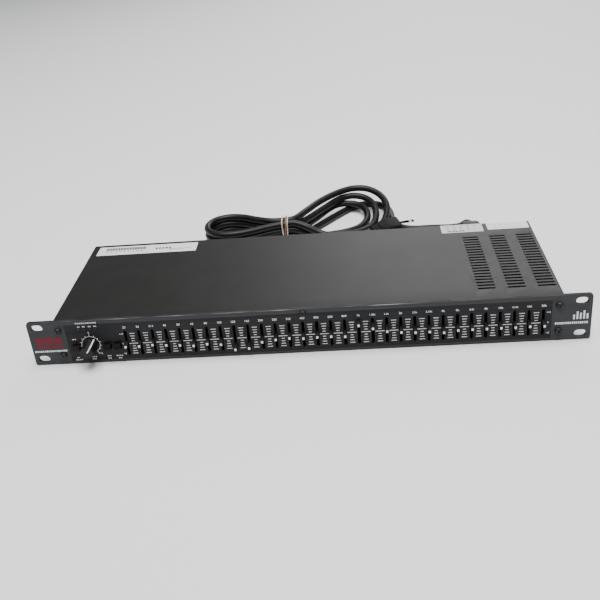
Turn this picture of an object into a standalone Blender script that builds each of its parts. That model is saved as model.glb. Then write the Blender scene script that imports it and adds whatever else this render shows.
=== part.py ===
"""A 31-band graphic equalizer in a one-unit rack case, with its mains cord.

X runs to the right along the front, Y to the back and Z up. The origin is the middle of
the case's underside, on the surface that the case stands on.
"""

import math

import bmesh
import bpy
from mathutils import Matrix, Vector
from mathutils.geometry import interpolate_bezier

MM = 0.001
GAP = 0.3 * MM  # left between pieces that touch
OVERLAP = 0.4 * MM  # how deep shapes that are joined run into each other
MERGE = 0.01 * MM

# Case
PANEL_WIDTH = 482.6 * MM
PANEL_HEIGHT = 44.0 * MM
PANEL_THICKNESS = 3.0 * MM
PANEL_CORNER = 2.5 * MM
EAR_WIDTH = 22.65 * MM
DEPTH = 148.6 * MM
COVER_DROP = 1.15 * MM  # the cover's top lies this much below the panel's top edge
SHEET = 1.2 * MM
RACK_SLOT_WIDTH = 10.5 * MM
RACK_SLOT_HEIGHT = 7.0 * MM
RACK_SLOT_INSET = 8.75 * MM
RACK_SLOT_RISE = 15.875 * MM
TAB_WIDTH = 8.6 * MM
FLANGE_HEIGHT = 10.0 * MM
FRONT_FLANGE_HEIGHT = 4.0 * MM
LIP_DROP = 5.3 * MM
LIP_INSET = 13.65 * MM

VENT_LENGTH = 15.0 * MM
VENT_WIDTH = 2.5 * MM
VENT_COLUMNS = 3
VENT_COLUMN_PITCH = 25.3 * MM
VENT_ROWS = 20
VENT_ROW_PITCH = 5.175 * MM
VENT_SIDE_INSET = 10.5 * MM  # last column's centre to the cover's right side
VENT_FRONT_INSET = 20.4 * MM  # first row to the panel's face

# Front screws
SCREW_HEAD_RADIUS = 3.0 * MM
SCREW_HEAD_HEIGHT = 2.0 * MM
SCREW_HEAD_TAPER = 0.8  # the top of a head is this share of its base
SCREW_RADIUS = 1.5 * MM
SCREW_LENGTH = 9.0 * MM
SCREW_WALL_GAP = 0.15 * MM  # from an end screw to the tray's side
SCREW_RISE = 12.5 * MM
COVER_SCREW_HEAD_RADIUS = 2.5 * MM
COVER_SCREW_RADIUS = 1.1 * MM
COVER_SCREW_DROP = 4.0 * MM
SCREW_CLEARANCE = 0.35 * MM

# Sliders: one for each band, with how far its lever stands above 0 dB
BANDS = (
    ("20", 0.0), ("25", 0.0), ("31_5", 0.8), ("40", -0.2), ("50", -0.9), ("63", -2.2),
    ("80", -1.0), ("100", -2.3), ("125", -8.3), ("160", -7.6), ("200", -1.9), ("250", -0.3),
    ("315", 0.6), ("400", -0.3), ("500", 0.2), ("630", 0.2), ("800", -0.5), ("1k", 9.8),
    ("1k25", 6.0), ("1k6", 2.5), ("2k", 0.9), ("2k5", 0.0), ("3k15", 0.0), ("4k", -1.5),
    ("5k", 0.0), ("6k3", 0.2), ("8k", 0.2), ("10k", 0.2), ("12k5", 0.0), ("16k", 0.2),
    ("20k", 0.0),
)
FIRST_SLIDER_X = -155.65 * MM
SLIDER_PITCH = 11.9 * MM
ZERO_DROP = 3.7 * MM  # the 0 dB line lies this much below the panel's middle
TRAVEL = 20.0 * MM
LEVER_WIDTH = 1.8 * MM
LEVER_ROOT_HEIGHT = 4.4 * MM
LEVER_TIP_HEIGHT = 2.2 * MM
LEVER_PROUD = 6.2 * MM
LEVER_CHAMFER = 0.3 * MM
SLOT_CLEARANCE = 0.45 * MM
SLOT_END_CLEARANCE = 1.1 * MM
POT_WIDTH = 7.0 * MM
POT_HEIGHT = 32.0 * MM
POT_DEPTH = 7.5 * MM
POT_GROOVE_DEPTH = 3.6 * MM
CONTROLS_GAP = 0.8 * MM  # from the sheet behind the panel to the controls
BOARD_THICKNESS = 1.6 * MM
SLIDER_BOARD_LIFT = 0.8 * MM
SLIDER_BOARD_TOP_GAP = 2.15 * MM
SLIDER_BOARD_SIDE = 3.9 * MM  # from the outer sliders to the board's ends

# Gain knob
GAIN_X = -187.8 * MM
GAIN_DROP = 2.7 * MM
GAIN_ANGLE = math.radians(36.0)  # of the pointer at rest, clockwise from the top
KNOB_BASE_RADIUS = 6.7 * MM
KNOB_FACE_RADIUS = 5.7 * MM
KNOB_EDGE = 0.4 * MM
KNOB_PROUD = 14.5 * MM
KNOB_OFF_PANEL = 0.6 * MM
KNOB_WALL_FRONT = 3.0 * MM
POINTER_WIDTH = 1.4 * MM
POINTER_HEIGHT = 0.4 * MM
SHAFT_RADIUS = 3.0 * MM
SHAFT_CLEARANCE = 0.35 * MM
BUSH_WALL = 1.2 * MM
GAIN_POT_RADIUS = 8.0 * MM
GAIN_POT_DEPTH = 8.0 * MM

# Push buttons and their switches
BUTTONS = (("bypass", -200.9 * MM, -4.7 * MM),
           ("low_cut", -173.2 * MM, -5.0 * MM),
           ("range", -164.1 * MM, -5.0 * MM))
BUTTON_WIDTH = 6.3 * MM
BUTTON_HEIGHT = 4.6 * MM
BUTTON_PROUD = 4.0 * MM
BUTTON_LENGTH = 7.0 * MM
BUTTON_EDGE = 0.5 * MM
BUTTON_CLEARANCE = 0.4 * MM
BUTTON_TRAVEL = 3.0 * MM
PLUNGER_SIZE = 2.6 * MM
PLUNGER_LENGTH = 3.0 * MM
SWITCH_HEIGHT = 5.6 * MM
SWITCH_WALL = 0.9 * MM
SWITCH_DEPTH = 12.0 * MM
SWITCH_BOARD_HEIGHT = 11.0 * MM
SWITCH_BOARD_MARGIN = 1.0 * MM

# Lamps
METER_LAMP_XS = (-195.4 * MM, -190.8 * MM, -185.6 * MM, -180.8 * MM)
METER_LAMP_RISE = 12.9 * MM
OVERLOAD_LAMP_X = -201.1 * MM
OVERLOAD_LAMP_DROP = 0.1 * MM
LAMP_RADIUS = 1.0 * MM
LAMP_PLATE = 2.0 * MM
LAMP_PLATE_MARGIN = 1.3 * MM

# Inside
MAIN_BOARD_X = (-200.0 * MM, 130.0 * MM)
MAIN_BOARD_LIFT = 8.0 * MM
MAIN_BOARD_FRONT_SPACE = 4.9 * MM
MAIN_BOARD_REAR_SPACE = 28.0 * MM
POST_RADIUS = 3.0 * MM
POST_STEPS = 12
POST_INSET = 8.0 * MM
CAPACITORS = 4
CAPACITOR_RADIUS = 5.0 * MM
CAPACITOR_HEIGHT = 16.0 * MM
CAPACITOR_PITCH = 14.0 * MM
CAPACITOR_REAR_INSET = 20.0 * MM
HEAT_SINKS = 2
HEAT_SINK_SIZE = (16.0 * MM, 4.0 * MM, 20.0 * MM)
HEAT_SINK_PITCH = 28.0 * MM
HEAT_SINK_SIDE_INSET = 26.0 * MM
HEAT_SINK_FRONT_INSET = 20.0 * MM
CHIPS = 8
CHIP_SIZE = (10.0 * MM, 6.0 * MM, 3.5 * MM)
CHIP_PITCH = 26.0 * MM
CHIP_SIDE_INSET = 30.0 * MM
CHIP_FRONT_INSET = 34.0 * MM
TRANSFORMER_SIDE_SPACE = 35.0 * MM  # its centre to the cover's right side
TRANSFORMER_Y = -5.0 * MM
CORE_SIZE = (54.0 * MM, 28.0 * MM, 35.0 * MM)
COIL_SIZE = (34.0 * MM, 46.0 * MM, 24.0 * MM)
FOOT_SIZE = (62.0 * MM, 16.0 * MM, 2.0 * MM)

# Rear sockets
SOCKET_Z = 22.5 * MM
INLET_X = 166.0 * MM
INLET_BEZEL = (30.0 * MM, 23.0 * MM, 2.0 * MM)
INLET_BEZEL_CORNER = 1.5 * MM
INLET_BODY = (27.0 * MM, 19.5 * MM)
INLET_DEPTH = 26.0 * MM
INLET_RECESS_DEPTH = 16.5 * MM
PLUG_NOSE = (23.8 * MM, 16.0 * MM)
NOSE_CHAMFER = 4.6 * MM
NOSE_CLEARANCE = 0.4 * MM
BLADE_SIZE = (4.0 * MM, 2.0 * MM)
BLADE_LENGTH = 14.0 * MM
BLADE_SPACING = 7.0 * MM
BLADE_RISE = 2.0 * MM
XLR_INPUT_X = -150.0 * MM
XLR_OUTPUT_X = -60.0 * MM
XLR_RADIUS = 11.5 * MM
XLR_PROUD = 1.5 * MM
XLR_DEPTH = 22.0 * MM
XLR_CUP_RADIUS = 9.3 * MM
XLR_CUP_DEPTH = 13.0 * MM
XLR_CORE_RADIUS = 7.2 * MM
XLR_PIN_CIRCLE = 3.5 * MM
XLR_PIN_RADIUS = 1.2 * MM
XLR_HOLE_RADIUS = 1.4 * MM
XLR_PIN_ANGLES = (30.0, 150.0, 270.0)
SOCKET_CLEARANCE = 0.4 * MM

# Mains cord
CORD_DIAMETER = 7.5 * MM
CONNECTOR_GRIP = (25.4 * MM, 17.4 * MM)
CONNECTOR_REAR_Y = 109.7 * MM
RELIEF_LENGTH = 25.0 * MM
RELIEF_RADIUS = 5.6 * MM
RELIEF_WALL = 0.6 * MM  # round the cord, at the thin end
RELIEF_ROOT = 2.0 * MM  # how far it starts inside the grip
ROUTE_STEP = 5.6 * MM
LEAD_SKIP = 3  # the lead has a point at every third step
LEAD_ROUTE = (
    (166.0, 109.7, 22.5), (166.0, 118.0, 21.5), (165.3, 126.5, 18.1), (162.8, 134.4, 12.9),
    (157.9, 141.3, 8.2), (150.7, 146.7, 5.1), (141.6, 149.9, 3.9), (129.0, 150.9, 3.9),
    (116.0, 150.8, 3.9), (106.05, 152.8, 3.9), (97.6, 158.4, 3.9), (92.0, 166.85, 3.9),
    (90.0, 176.8, 3.9),
)
HANK_HEIGHT = 30.3 * MM
HANK_OUTLINE = (
    (-117.0, 138.7), (-105.0, 114.0), (-80.0, 112.0), (-26.0, 124.0), (10.0, 121.5),
    (44.4, 121.5), (44.4, 137.0), (62.0, 147.0), (80.0, 158.0), (84.0, 177.5),
    (94.4, 177.5), (95.0, 205.0), (84.0, 228.0), (62.0, 236.5), (42.0, 230.0),
    (12.0, 200.0), (-12.0, 162.0), (-30.0, 152.0), (-56.0, 160.0), (-84.0, 166.0),
    (-107.0, 158.0),
)
PLUG_TURN = math.radians(13.0)
PLUG_FACE = (96.0 * MM, 134.7 * MM, 12.0 * MM)  # middle of the face that the blades leave
PLUG_BODY_LENGTH = 32.0 * MM
PLUG_BODY = (24.0 * MM, 22.6 * MM)
PLUG_REAR = (15.0 * MM, 15.0 * MM)
PLUG_RELIEF_LENGTH = 20.0 * MM
PLUG_BLADE = (17.0 * MM, 6.3 * MM, 1.5 * MM)
PLUG_BLADE_SPACING = 12.7 * MM
PLUG_BLADE_OFFSET = 4.0 * MM
PLUG_EARTH_OFFSET = 7.9 * MM
PLUG_EARTH_RADIUS = 2.3 * MM
PLUG_EARTH_LENGTH = 20.0 * MM

# Places that follow from the sizes above
FRONT_Y = -DEPTH / 2
REAR_Y = DEPTH / 2
PANEL_BACK_Y = FRONT_Y + PANEL_THICKNESS
SHEET_FRONT_Y = PANEL_BACK_Y + GAP
SHEET_BACK_Y = SHEET_FRONT_Y + SHEET
CONTROLS_Y = SHEET_BACK_Y + CONTROLS_GAP
MID_Z = PANEL_HEIGHT / 2
ZERO_Z = MID_Z - ZERO_DROP
CASE_HALF = PANEL_WIDTH / 2 - EAR_WIDTH
COVER_TOP = PANEL_HEIGHT - COVER_DROP
TRAY_HALF = CASE_HALF - SHEET - GAP
TRAY_TOP = COVER_TOP - SHEET - GAP
SLOT_WIDTH = LEVER_WIDTH + 2 * SLOT_CLEARANCE
SLOT_LENGTH = TRAVEL + LEVER_ROOT_HEIGHT + 2 * SLOT_END_CLEARANCE
GAIN_Z = MID_Z - GAIN_DROP
BUSH_RADIUS = SHAFT_RADIUS + SHAFT_CLEARANCE + BUSH_WALL
LAMP_HOLE_RADIUS = LAMP_RADIUS + SCREW_CLEARANCE
BEZEL_BACK_Y = REAR_Y + GAP
BEZEL_FRONT_Y = BEZEL_BACK_Y + INLET_BEZEL[2]
RELIEF_END_RADIUS = CORD_DIAMETER / 2 + RELIEF_WALL
CUT = 2 * MM  # how far a cutter runs past the faces it cuts


def clear_scene():
    for item in list(bpy.data.objects):
        bpy.data.objects.remove(item, do_unlink=True)


def new_collection(name):
    collection = bpy.data.collections.new(name)
    bpy.context.scene.collection.children.link(collection)
    return collection


def material(name, color, roughness, metallic=0.0):
    result = bpy.data.materials.new(name)
    result.use_nodes = True
    shader = result.node_tree.nodes["Principled BSDF"]
    shader.inputs["Base Color"].default_value = (*color, 1.0)
    shader.inputs["Roughness"].default_value = roughness
    shader.inputs["Metallic"].default_value = metallic
    return result


# Building blocks


def add_box(bm, low, high):
    """Adds a box between two corners."""
    size = Vector(high) - Vector(low)
    place = Matrix.Translation((Vector(low) + Vector(high)) / 2)
    bmesh.ops.create_cube(bm, size=1.0, matrix=place @ Matrix.Diagonal((*size, 1.0)))


def add_rod(bm, centre, radius, y_front, y_back, segments=24, back_radius=None):
    """Adds a rod or cone along Y at an (x, z) centre."""
    middle = Vector((centre[0], (y_front + y_back) / 2, centre[1]))
    turn = Matrix.Rotation(math.radians(90), 4, "X")
    bmesh.ops.create_cone(
        bm, cap_ends=True, segments=segments,
        radius1=radius if back_radius is None else back_radius, radius2=radius,
        depth=y_back - y_front, matrix=Matrix.Translation(middle) @ turn,
    )


def add_post(bm, centre, radius, z_low, z_high, segments=16):
    """Adds an upright post at an (x, y) centre."""
    middle = Vector((*centre, (z_low + z_high) / 2))
    bmesh.ops.create_cone(
        bm, cap_ends=True, segments=segments, radius1=radius, radius2=radius,
        depth=z_high - z_low, matrix=Matrix.Translation(middle),
    )


def mesh_object(name, bm, collection, surface=None):
    mesh = bpy.data.meshes.new(name)
    bm.to_mesh(mesh)
    bm.free()
    return link_mesh(name, mesh, collection, surface)


def link_mesh(name, mesh, collection, surface=None):
    result = bpy.data.objects.new(name, mesh)
    collection.objects.link(result)
    if surface is not None:
        mesh.materials.clear()
        mesh.materials.append(surface)
    mesh.shade_smooth()
    mesh.set_sharp_from_angle(angle=math.radians(35))
    return result


def as_tool(item):
    """Shows an object as a wire and keeps it out of the picture."""
    item.hide_render = True
    item.display_type = "WIRE"
    return item


def tool_object(name, bm, tools):
    return as_tool(mesh_object(name, bm, tools))


def combine(target, tool, operation="DIFFERENCE"):
    step = target.modifiers.new(tool.name, "BOOLEAN")
    step.operation = operation
    step.object = tool
    step.solver = "EXACT"


def as_mesh(curve_object, collection, surface=None):
    """Turns a curve object into a welded mesh object in the same place."""
    bpy.context.view_layer.update()
    graph = bpy.context.evaluated_depsgraph_get()
    mesh = bpy.data.meshes.new_from_object(curve_object.evaluated_get(graph))
    bm = bmesh.new()
    bm.from_mesh(mesh)
    bmesh.ops.remove_doubles(bm, verts=bm.verts, dist=MERGE)
    bmesh.ops.recalc_face_normals(bm, faces=bm.faces)
    bm.to_mesh(mesh)
    bm.free()
    name = curve_object.name
    place = curve_object.matrix_world.copy()
    data = curve_object.data
    bpy.data.objects.remove(curve_object, do_unlink=True)
    bpy.data.curves.remove(data)
    result = link_mesh(name, mesh, collection, surface)
    result.matrix_world = place
    return result


def outline_curve(name, outlines, thickness, collection):
    """A flat 2D curve with holes, filled and given a thickness along its own Z."""
    data = bpy.data.curves.new(name, "CURVE")
    data.dimensions = "2D"
    data.fill_mode = "BOTH"
    data.extrude = thickness / 2
    for points in outlines:
        spline = data.splines.new("POLY")
        spline.points.add(len(points) - 1)
        for point, (x, y) in zip(spline.points, points):
            point.co = (x, y, 0.0, 1.0)
        spline.use_cyclic_u = True
    result = bpy.data.objects.new(name, data)
    collection.objects.link(result)
    return result


def upright_plate(name, outlines, y_front, y_back, collection, surface=None):
    """An (x, z) outline with holes, as a plate between two Y planes."""
    curve = outline_curve(name, outlines, y_back - y_front, collection)
    curve.location = (0.0, (y_front + y_back) / 2, 0.0)
    curve.rotation_euler = (math.radians(90), 0.0, 0.0)
    return as_mesh(curve, collection, surface)


def tube(name, points, radii, collection, surface, sides_resolution=2):
    """A round tube with closed ends through points, with a radius at each."""
    data = bpy.data.curves.new(name, "CURVE")
    data.dimensions = "3D"
    data.bevel_depth = 1.0
    data.bevel_resolution = sides_resolution
    data.use_fill_caps = True
    spline = data.splines.new("POLY")
    spline.points.add(len(points) - 1)
    for item, point, radius in zip(spline.points, points, radii):
        item.co = (*point, 1.0)
        item.radius = radius
    result = bpy.data.objects.new(name, data)
    collection.objects.link(result)
    return as_mesh(result, collection, surface)


def arc(centre, radius, start, end, steps):
    """Points on an arc, angles in degrees, counter-clockwise."""
    turns = [math.radians(start + (end - start) * i / steps) for i in range(steps + 1)]
    return [(centre[0] + radius * math.cos(t), centre[1] + radius * math.sin(t)) for t in turns]


def rounded_rectangle(low, high, radius, steps=3):
    corners = (
        ((high[0] - radius, high[1] - radius), 0.0),
        ((low[0] + radius, high[1] - radius), 90.0),
        ((low[0] + radius, low[1] + radius), 180.0),
        ((high[0] - radius, low[1] + radius), 270.0),
    )
    return [p for centre, start in corners for p in arc(centre, radius, start, start + 90.0, steps)]


def obround(centre, width, height, steps=4):
    """A slot with round ends, along its longer side."""
    across, along = min(width, height) / 2, max(width, height) / 2
    reach = along - across
    if width > height:
        right, left = (centre[0] + reach, centre[1]), (centre[0] - reach, centre[1])
        return arc(right, across, -90, 90, steps) + arc(left, across, 90, 270, steps)
    top, bottom = (centre[0], centre[1] + reach), (centre[0], centre[1] - reach)
    return arc(top, across, 0, 180, steps) + arc(bottom, across, 180, 360, steps)


def circle(centre, radius, steps=16):
    return arc(centre, radius, 0.0, 360.0, steps)[:-1]


def rectangle(centre, width, height):
    x, z = centre
    return [(x - width / 2, z - height / 2), (x + width / 2, z - height / 2),
            (x + width / 2, z + height / 2), (x - width / 2, z + height / 2)]


def chamfered(centre, width, height, chamfer):
    """A rectangle whose two top corners are cut off, as on a mains connector."""
    x, z = centre
    half, top, bottom = width / 2, z + height / 2, z - height / 2
    return [(x - half, bottom), (x + half, bottom), (x + half, top - chamfer),
            (x + half - chamfer, top), (x - half + chamfer, top), (x - half, top - chamfer)]


def smooth_points(route, step):
    """Evenly spaced points on a smooth curve through a route's points."""
    points = [Vector(p) * MM for p in route]
    ends = [points[0] * 2 - points[1]] + points + [points[-1] * 2 - points[-2]]
    line = []
    for before, start, end, after in zip(ends, ends[1:], ends[2:], ends[3:]):
        leaving, arriving = start + (end - before) / 6, end - (after - start) / 6
        line += interpolate_bezier(start, leaving, arriving, end, 12)[:-1]
    line.append(points[-1])
    spaced, walked = [line[0]], 0.0
    for start, end in zip(line, line[1:]):
        walked += (end - start).length
        if walked >= step:
            spaced.append(end)
            walked = 0.0
    if (spaced[-1] - line[-1]).length < step / 2:
        spaced.pop()
    return spaced + [line[-1]]


def cut_route(points, distance):
    """Splits a line at a distance from its start, with the usual gap between the halves."""
    walked = 0.0
    for index, (start, end) in enumerate(zip(points, points[1:])):
        span = (end - start).length
        if walked + span >= distance:
            heading = (end - start) / span
            split = start + heading * (distance - walked)
            return points[:index + 1] + [split], [split + heading * GAP] + points[index + 1:]
        walked += span
    return points, []


# Case


def slider_x(index):
    return FIRST_SLIDER_X + SLIDER_PITCH * index


def rack_slot_centres():
    x = PANEL_WIDTH / 2 - RACK_SLOT_INSET
    return [(side * x, MID_Z + rise * RACK_SLOT_RISE) for side in (-1, 1) for rise in (-1, 1)]


def panel_screw_places():
    x = TRAY_HALF - SHEET - SCREW_WALL_GAP - SCREW_RADIUS
    return [(side * x, MID_Z + rise * SCREW_RISE) for side in (-1, 1) for rise in (1, -1)]


def cover_screw_place():
    return (0.0, PANEL_HEIGHT - COVER_SCREW_DROP)


def lamp_places():
    meter = [(x, MID_Z + METER_LAMP_RISE) for x in METER_LAMP_XS]
    return meter + [(OVERLOAD_LAMP_X, MID_Z - OVERLOAD_LAMP_DROP)]


def make_front_panel(parts, surface):
    half = PANEL_WIDTH / 2
    outline = rounded_rectangle((-half, 0.0), (half, PANEL_HEIGHT), PANEL_CORNER)
    holes = [obround(c, RACK_SLOT_WIDTH, RACK_SLOT_HEIGHT, 5) for c in rack_slot_centres()]
    for index in range(len(BANDS)):
        holes.append(obround((slider_x(index), ZERO_Z), SLOT_WIDTH, SLOT_LENGTH))
    holes += [circle(c, SCREW_RADIUS + SCREW_CLEARANCE, 12) for c in panel_screw_places()]
    holes.append(circle(cover_screw_place(), COVER_SCREW_RADIUS + SCREW_CLEARANCE, 12))
    holes.append(circle((GAIN_X, GAIN_Z), BUSH_RADIUS + SHAFT_CLEARANCE, 20))
    holes += [circle(c, LAMP_HOLE_RADIUS, 12) for c in lamp_places()]
    for _, x, rise in BUTTONS:
        size = (BUTTON_WIDTH + 2 * BUTTON_CLEARANCE, BUTTON_HEIGHT + 2 * BUTTON_CLEARANCE)
        holes.append(rectangle((x, MID_Z + rise), *size))
    upright_plate("front_panel", [outline] + holes, FRONT_Y, PANEL_BACK_Y, parts, surface)


def make_screw(name, place, head_radius, radius, parts, tools, surface):
    """A pan-head screw whose head stands on the panel's face."""
    head_y = FRONT_Y - GAP
    bm = bmesh.new()
    add_rod(bm, place, radius, head_y - OVERLAP, head_y + SCREW_LENGTH, 12)
    shank = tool_object(name + "_shank", bm, tools)
    bm = bmesh.new()
    front_radius = head_radius * SCREW_HEAD_TAPER
    add_rod(bm, place, front_radius, head_y - SCREW_HEAD_HEIGHT, head_y, 20, head_radius)
    head = mesh_object(name, bm, parts, surface)
    combine(head, shank, "UNION")


def make_front_screws(parts, tools, surface):
    for number, place in enumerate(panel_screw_places(), 1):
        name = f"panel_screw_{number}"
        make_screw(name, place, SCREW_HEAD_RADIUS, SCREW_RADIUS, parts, tools, surface)
    sizes = (COVER_SCREW_HEAD_RADIUS, COVER_SCREW_RADIUS)
    make_screw("cover_screw", cover_screw_place(), *sizes, parts, tools, surface)


def make_chassis_tray(parts, tools, surface):
    """The folded base: floor, side flanges, front flange and screw tabs."""
    bm = bmesh.new()
    rear = REAR_Y - SHEET - GAP
    add_box(bm, (-TRAY_HALF, SHEET_FRONT_Y, 0.0), (TRAY_HALF, rear, TRAY_TOP))
    tray = mesh_object("chassis_tray", bm, parts, surface)

    bm = bmesh.new()
    inner = TRAY_HALF - SHEET
    add_box(bm, (-inner, SHEET_BACK_Y, SHEET), (inner, rear + CUT, TRAY_TOP + CUT))
    combine(tray, tool_object("tray_inside", bm, tools))

    bm = bmesh.new()
    side_low = (-TRAY_HALF - CUT, SHEET_BACK_Y, FLANGE_HEIGHT)
    add_box(bm, side_low, (TRAY_HALF + CUT, rear + CUT, TRAY_TOP + CUT))
    combine(tray, tool_object("tray_sides", bm, tools))

    bm = bmesh.new()
    opening = TRAY_HALF - TAB_WIDTH
    window_low = (-opening, SHEET_FRONT_Y - CUT, FRONT_FLANGE_HEIGHT)
    add_box(bm, window_low, (opening, SHEET_BACK_Y + CUT, TRAY_TOP + CUT))
    for place in panel_screw_places():
        clear_radius = SCREW_RADIUS + SCREW_CLEARANCE
        add_rod(bm, place, clear_radius, SHEET_FRONT_Y - CUT, SHEET_BACK_Y + CUT, 12)
    combine(tray, tool_object("tray_openings", bm, tools))


def make_rear_panel(parts, surface):
    """The rear wall, with an opening for each socket."""
    outline = [(-TRAY_HALF, 0.0), (TRAY_HALF, 0.0), (TRAY_HALF, TRAY_TOP), (-TRAY_HALF, TRAY_TOP)]
    holes = [circle((x, SOCKET_Z), XLR_RADIUS + SOCKET_CLEARANCE, 24)
             for x in (XLR_INPUT_X, XLR_OUTPUT_X)]
    size = [s + 2 * SOCKET_CLEARANCE for s in INLET_BODY]
    holes.append(rectangle((INLET_X, SOCKET_Z), *size))
    upright_plate("rear_panel", [outline] + holes, REAR_Y - SHEET, REAR_Y, parts, surface)


def make_top_cover(parts, tools, surface):
    """The cover wraps over the top and both sides, with a lip behind the panel."""
    bm = bmesh.new()
    add_box(bm, (-CASE_HALF, SHEET_FRONT_Y, GAP), (CASE_HALF, REAR_Y, COVER_TOP))
    cover = mesh_object("top_cover", bm, parts, surface)

    inner, ceiling = CASE_HALF - SHEET, COVER_TOP - SHEET
    bm = bmesh.new()
    add_box(bm, (-inner, SHEET_BACK_Y, -CUT), (inner, REAR_Y + CUT, ceiling))
    combine(cover, tool_object("cover_inside", bm, tools))

    bm = bmesh.new()
    lip_z = COVER_TOP - LIP_DROP
    add_box(bm, (-inner, SHEET_FRONT_Y - CUT, -CUT), (inner, SHEET_BACK_Y + CUT, lip_z))
    combine(cover, tool_object("cover_front", bm, tools))

    bm = bmesh.new()
    for side in (-1, 1):
        xs = sorted((side * (CASE_HALF - LIP_INSET), side * inner))
        add_box(bm, (xs[0], SHEET_FRONT_Y - CUT, -CUT), (xs[1], SHEET_BACK_Y + CUT, ceiling))
    combine(cover, tool_object("cover_lip_ends", bm, tools))

    bm = bmesh.new()
    for column in range(VENT_COLUMNS):
        x = CASE_HALF - VENT_SIDE_INSET - VENT_COLUMN_PITCH * column
        for row in range(VENT_ROWS):
            y = FRONT_Y + VENT_FRONT_INSET + VENT_ROW_PITCH * row
            low = (x - VENT_LENGTH / 2, y - VENT_WIDTH / 2, ceiling - CUT)
            add_box(bm, low, (x + VENT_LENGTH / 2, y + VENT_WIDTH / 2, COVER_TOP + CUT))
    hole = COVER_SCREW_RADIUS + SCREW_CLEARANCE
    add_rod(bm, cover_screw_place(), hole, SHEET_FRONT_Y - CUT / 2, SHEET_BACK_Y + CUT / 2, 12)
    combine(cover, tool_object("cover_vents", bm, tools))


# Controls


def make_slider_board(parts, tools, board_surface):
    """The upright board with the slide potentiometers soldered to it in a row."""
    first, last = slider_x(0), slider_x(len(BANDS) - 1)
    board_y = CONTROLS_Y + POT_DEPTH
    high_z = COVER_TOP - SHEET - SLIDER_BOARD_TOP_GAP
    bm = bmesh.new()
    add_box(bm, (first - SLIDER_BOARD_SIDE, board_y, SHEET + SLIDER_BOARD_LIFT),
            (last + SLIDER_BOARD_SIDE, board_y + BOARD_THICKNESS, high_z))
    board = mesh_object("slider_board", bm, parts, board_surface)

    bm = bmesh.new()
    add_box(bm, (first - POT_WIDTH / 2, CONTROLS_Y, ZERO_Z - POT_HEIGHT / 2),
            (last + POT_WIDTH / 2, board_y + OVERLAP, ZERO_Z + POT_HEIGHT / 2))
    combine(board, tool_object("slide_pots", bm, tools), "UNION")

    bm = bmesh.new()
    for index in range(len(BANDS)):
        x = slider_x(index)
        half = SLOT_WIDTH / 2
        add_box(bm, (x - half, CONTROLS_Y - CUT, ZERO_Z - SLOT_LENGTH / 2),
                (x + half, CONTROLS_Y + POT_GROOVE_DEPTH, ZERO_Z + SLOT_LENGTH / 2))
        if index < len(BANDS) - 1:
            add_box(bm, (x + POT_WIDTH / 2, CONTROLS_Y - CUT, ZERO_Z - POT_HEIGHT / 2 - CUT),
                    (x + SLIDER_PITCH - POT_WIDTH / 2, board_y, ZERO_Z + POT_HEIGHT / 2 + CUT))
    combine(board, tool_object("slide_pot_gaps", bm, tools))


def lever_mesh(tools):
    """A lever about its own 0 dB point on the panel's face, as a side outline with a width."""
    back = CONTROLS_Y + POT_GROOVE_DEPTH - GAP - FRONT_Y
    root, tip = LEVER_ROOT_HEIGHT / 2, LEVER_TIP_HEIGHT / 2
    side = [(back, -root), (back, root), (0.0, root), (LEVER_CHAMFER - LEVER_PROUD, tip),
            (-LEVER_PROUD, tip - LEVER_CHAMFER), (-LEVER_PROUD, LEVER_CHAMFER - tip),
            (LEVER_CHAMFER - LEVER_PROUD, -tip), (0.0, -root)]
    curve = outline_curve("lever_outline", [side], LEVER_WIDTH, tools)
    curve.matrix_world = Matrix(((0, 0, 1, 0), (1, 0, 0, 0), (0, 1, 0, 0), (0, 0, 0, 1)))
    lever = as_mesh(curve, tools)
    mesh = lever.data
    mesh.transform(lever.matrix_world)
    bpy.data.objects.remove(lever, do_unlink=True)
    return mesh


def make_slider_levers(parts, tools, surface):
    mesh = lever_mesh(tools)
    mesh.materials.append(surface)
    for index, (band, rise) in enumerate(BANDS):
        lever = link_mesh(f"slider_lever_{band}", mesh, parts)
        lever.location = (slider_x(index), FRONT_Y, ZERO_Z + rise * MM)


def turned_object(name, profile, segments, collection, surface):
    """A turned piece about its own Z, from (radius, height) points that run down its outside."""
    mesh = bpy.data.meshes.new(name)
    verts = [(r, 0.0, h) for r, h in profile]
    mesh.from_pydata(verts, [(i, i + 1) for i in range(len(verts) - 1)], [])
    result = bpy.data.objects.new(name, mesh)
    mesh.materials.append(surface)
    collection.objects.link(result)
    turn = result.modifiers.new("Turn", "SCREW")
    turn.steps = segments
    turn.render_steps = segments
    turn.use_merge_vertices = True
    turn.merge_threshold = MERGE
    turn.use_smooth_shade = True
    return result


def make_gain_knob(parts, tools, surface):
    """The knob, turned about its shaft, with a raised pointer that stands at its rest angle."""
    bore = SHAFT_RADIUS + SHAFT_CLEARANCE
    top = KNOB_PROUD
    profile = [(0.0, top), (KNOB_FACE_RADIUS - KNOB_EDGE, top), (KNOB_FACE_RADIUS, top - KNOB_EDGE),
               (KNOB_BASE_RADIUS, KNOB_OFF_PANEL), (bore, KNOB_OFF_PANEL),
               (bore, top - KNOB_WALL_FRONT), (0.0, top - KNOB_WALL_FRONT)]
    knob = turned_object("gain_knob", profile, 32, parts, surface)
    knob.location = (GAIN_X, FRONT_Y, GAIN_Z)
    knob.rotation_euler = (math.radians(90), 0.0, 0.0)

    bm = bmesh.new()
    add_box(bm, (-POINTER_WIDTH / 2, -KNOB_PROUD - POINTER_HEIGHT, 0.0),
            (POINTER_WIDTH / 2, -KNOB_PROUD + OVERLAP, KNOB_FACE_RADIUS - KNOB_EDGE - OVERLAP))
    pointer = tool_object("knob_pointer", bm, tools)
    pointer.location = knob.location
    pointer.rotation_euler = (0.0, GAIN_ANGLE, 0.0)
    combine(knob, pointer, "UNION")


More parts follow.
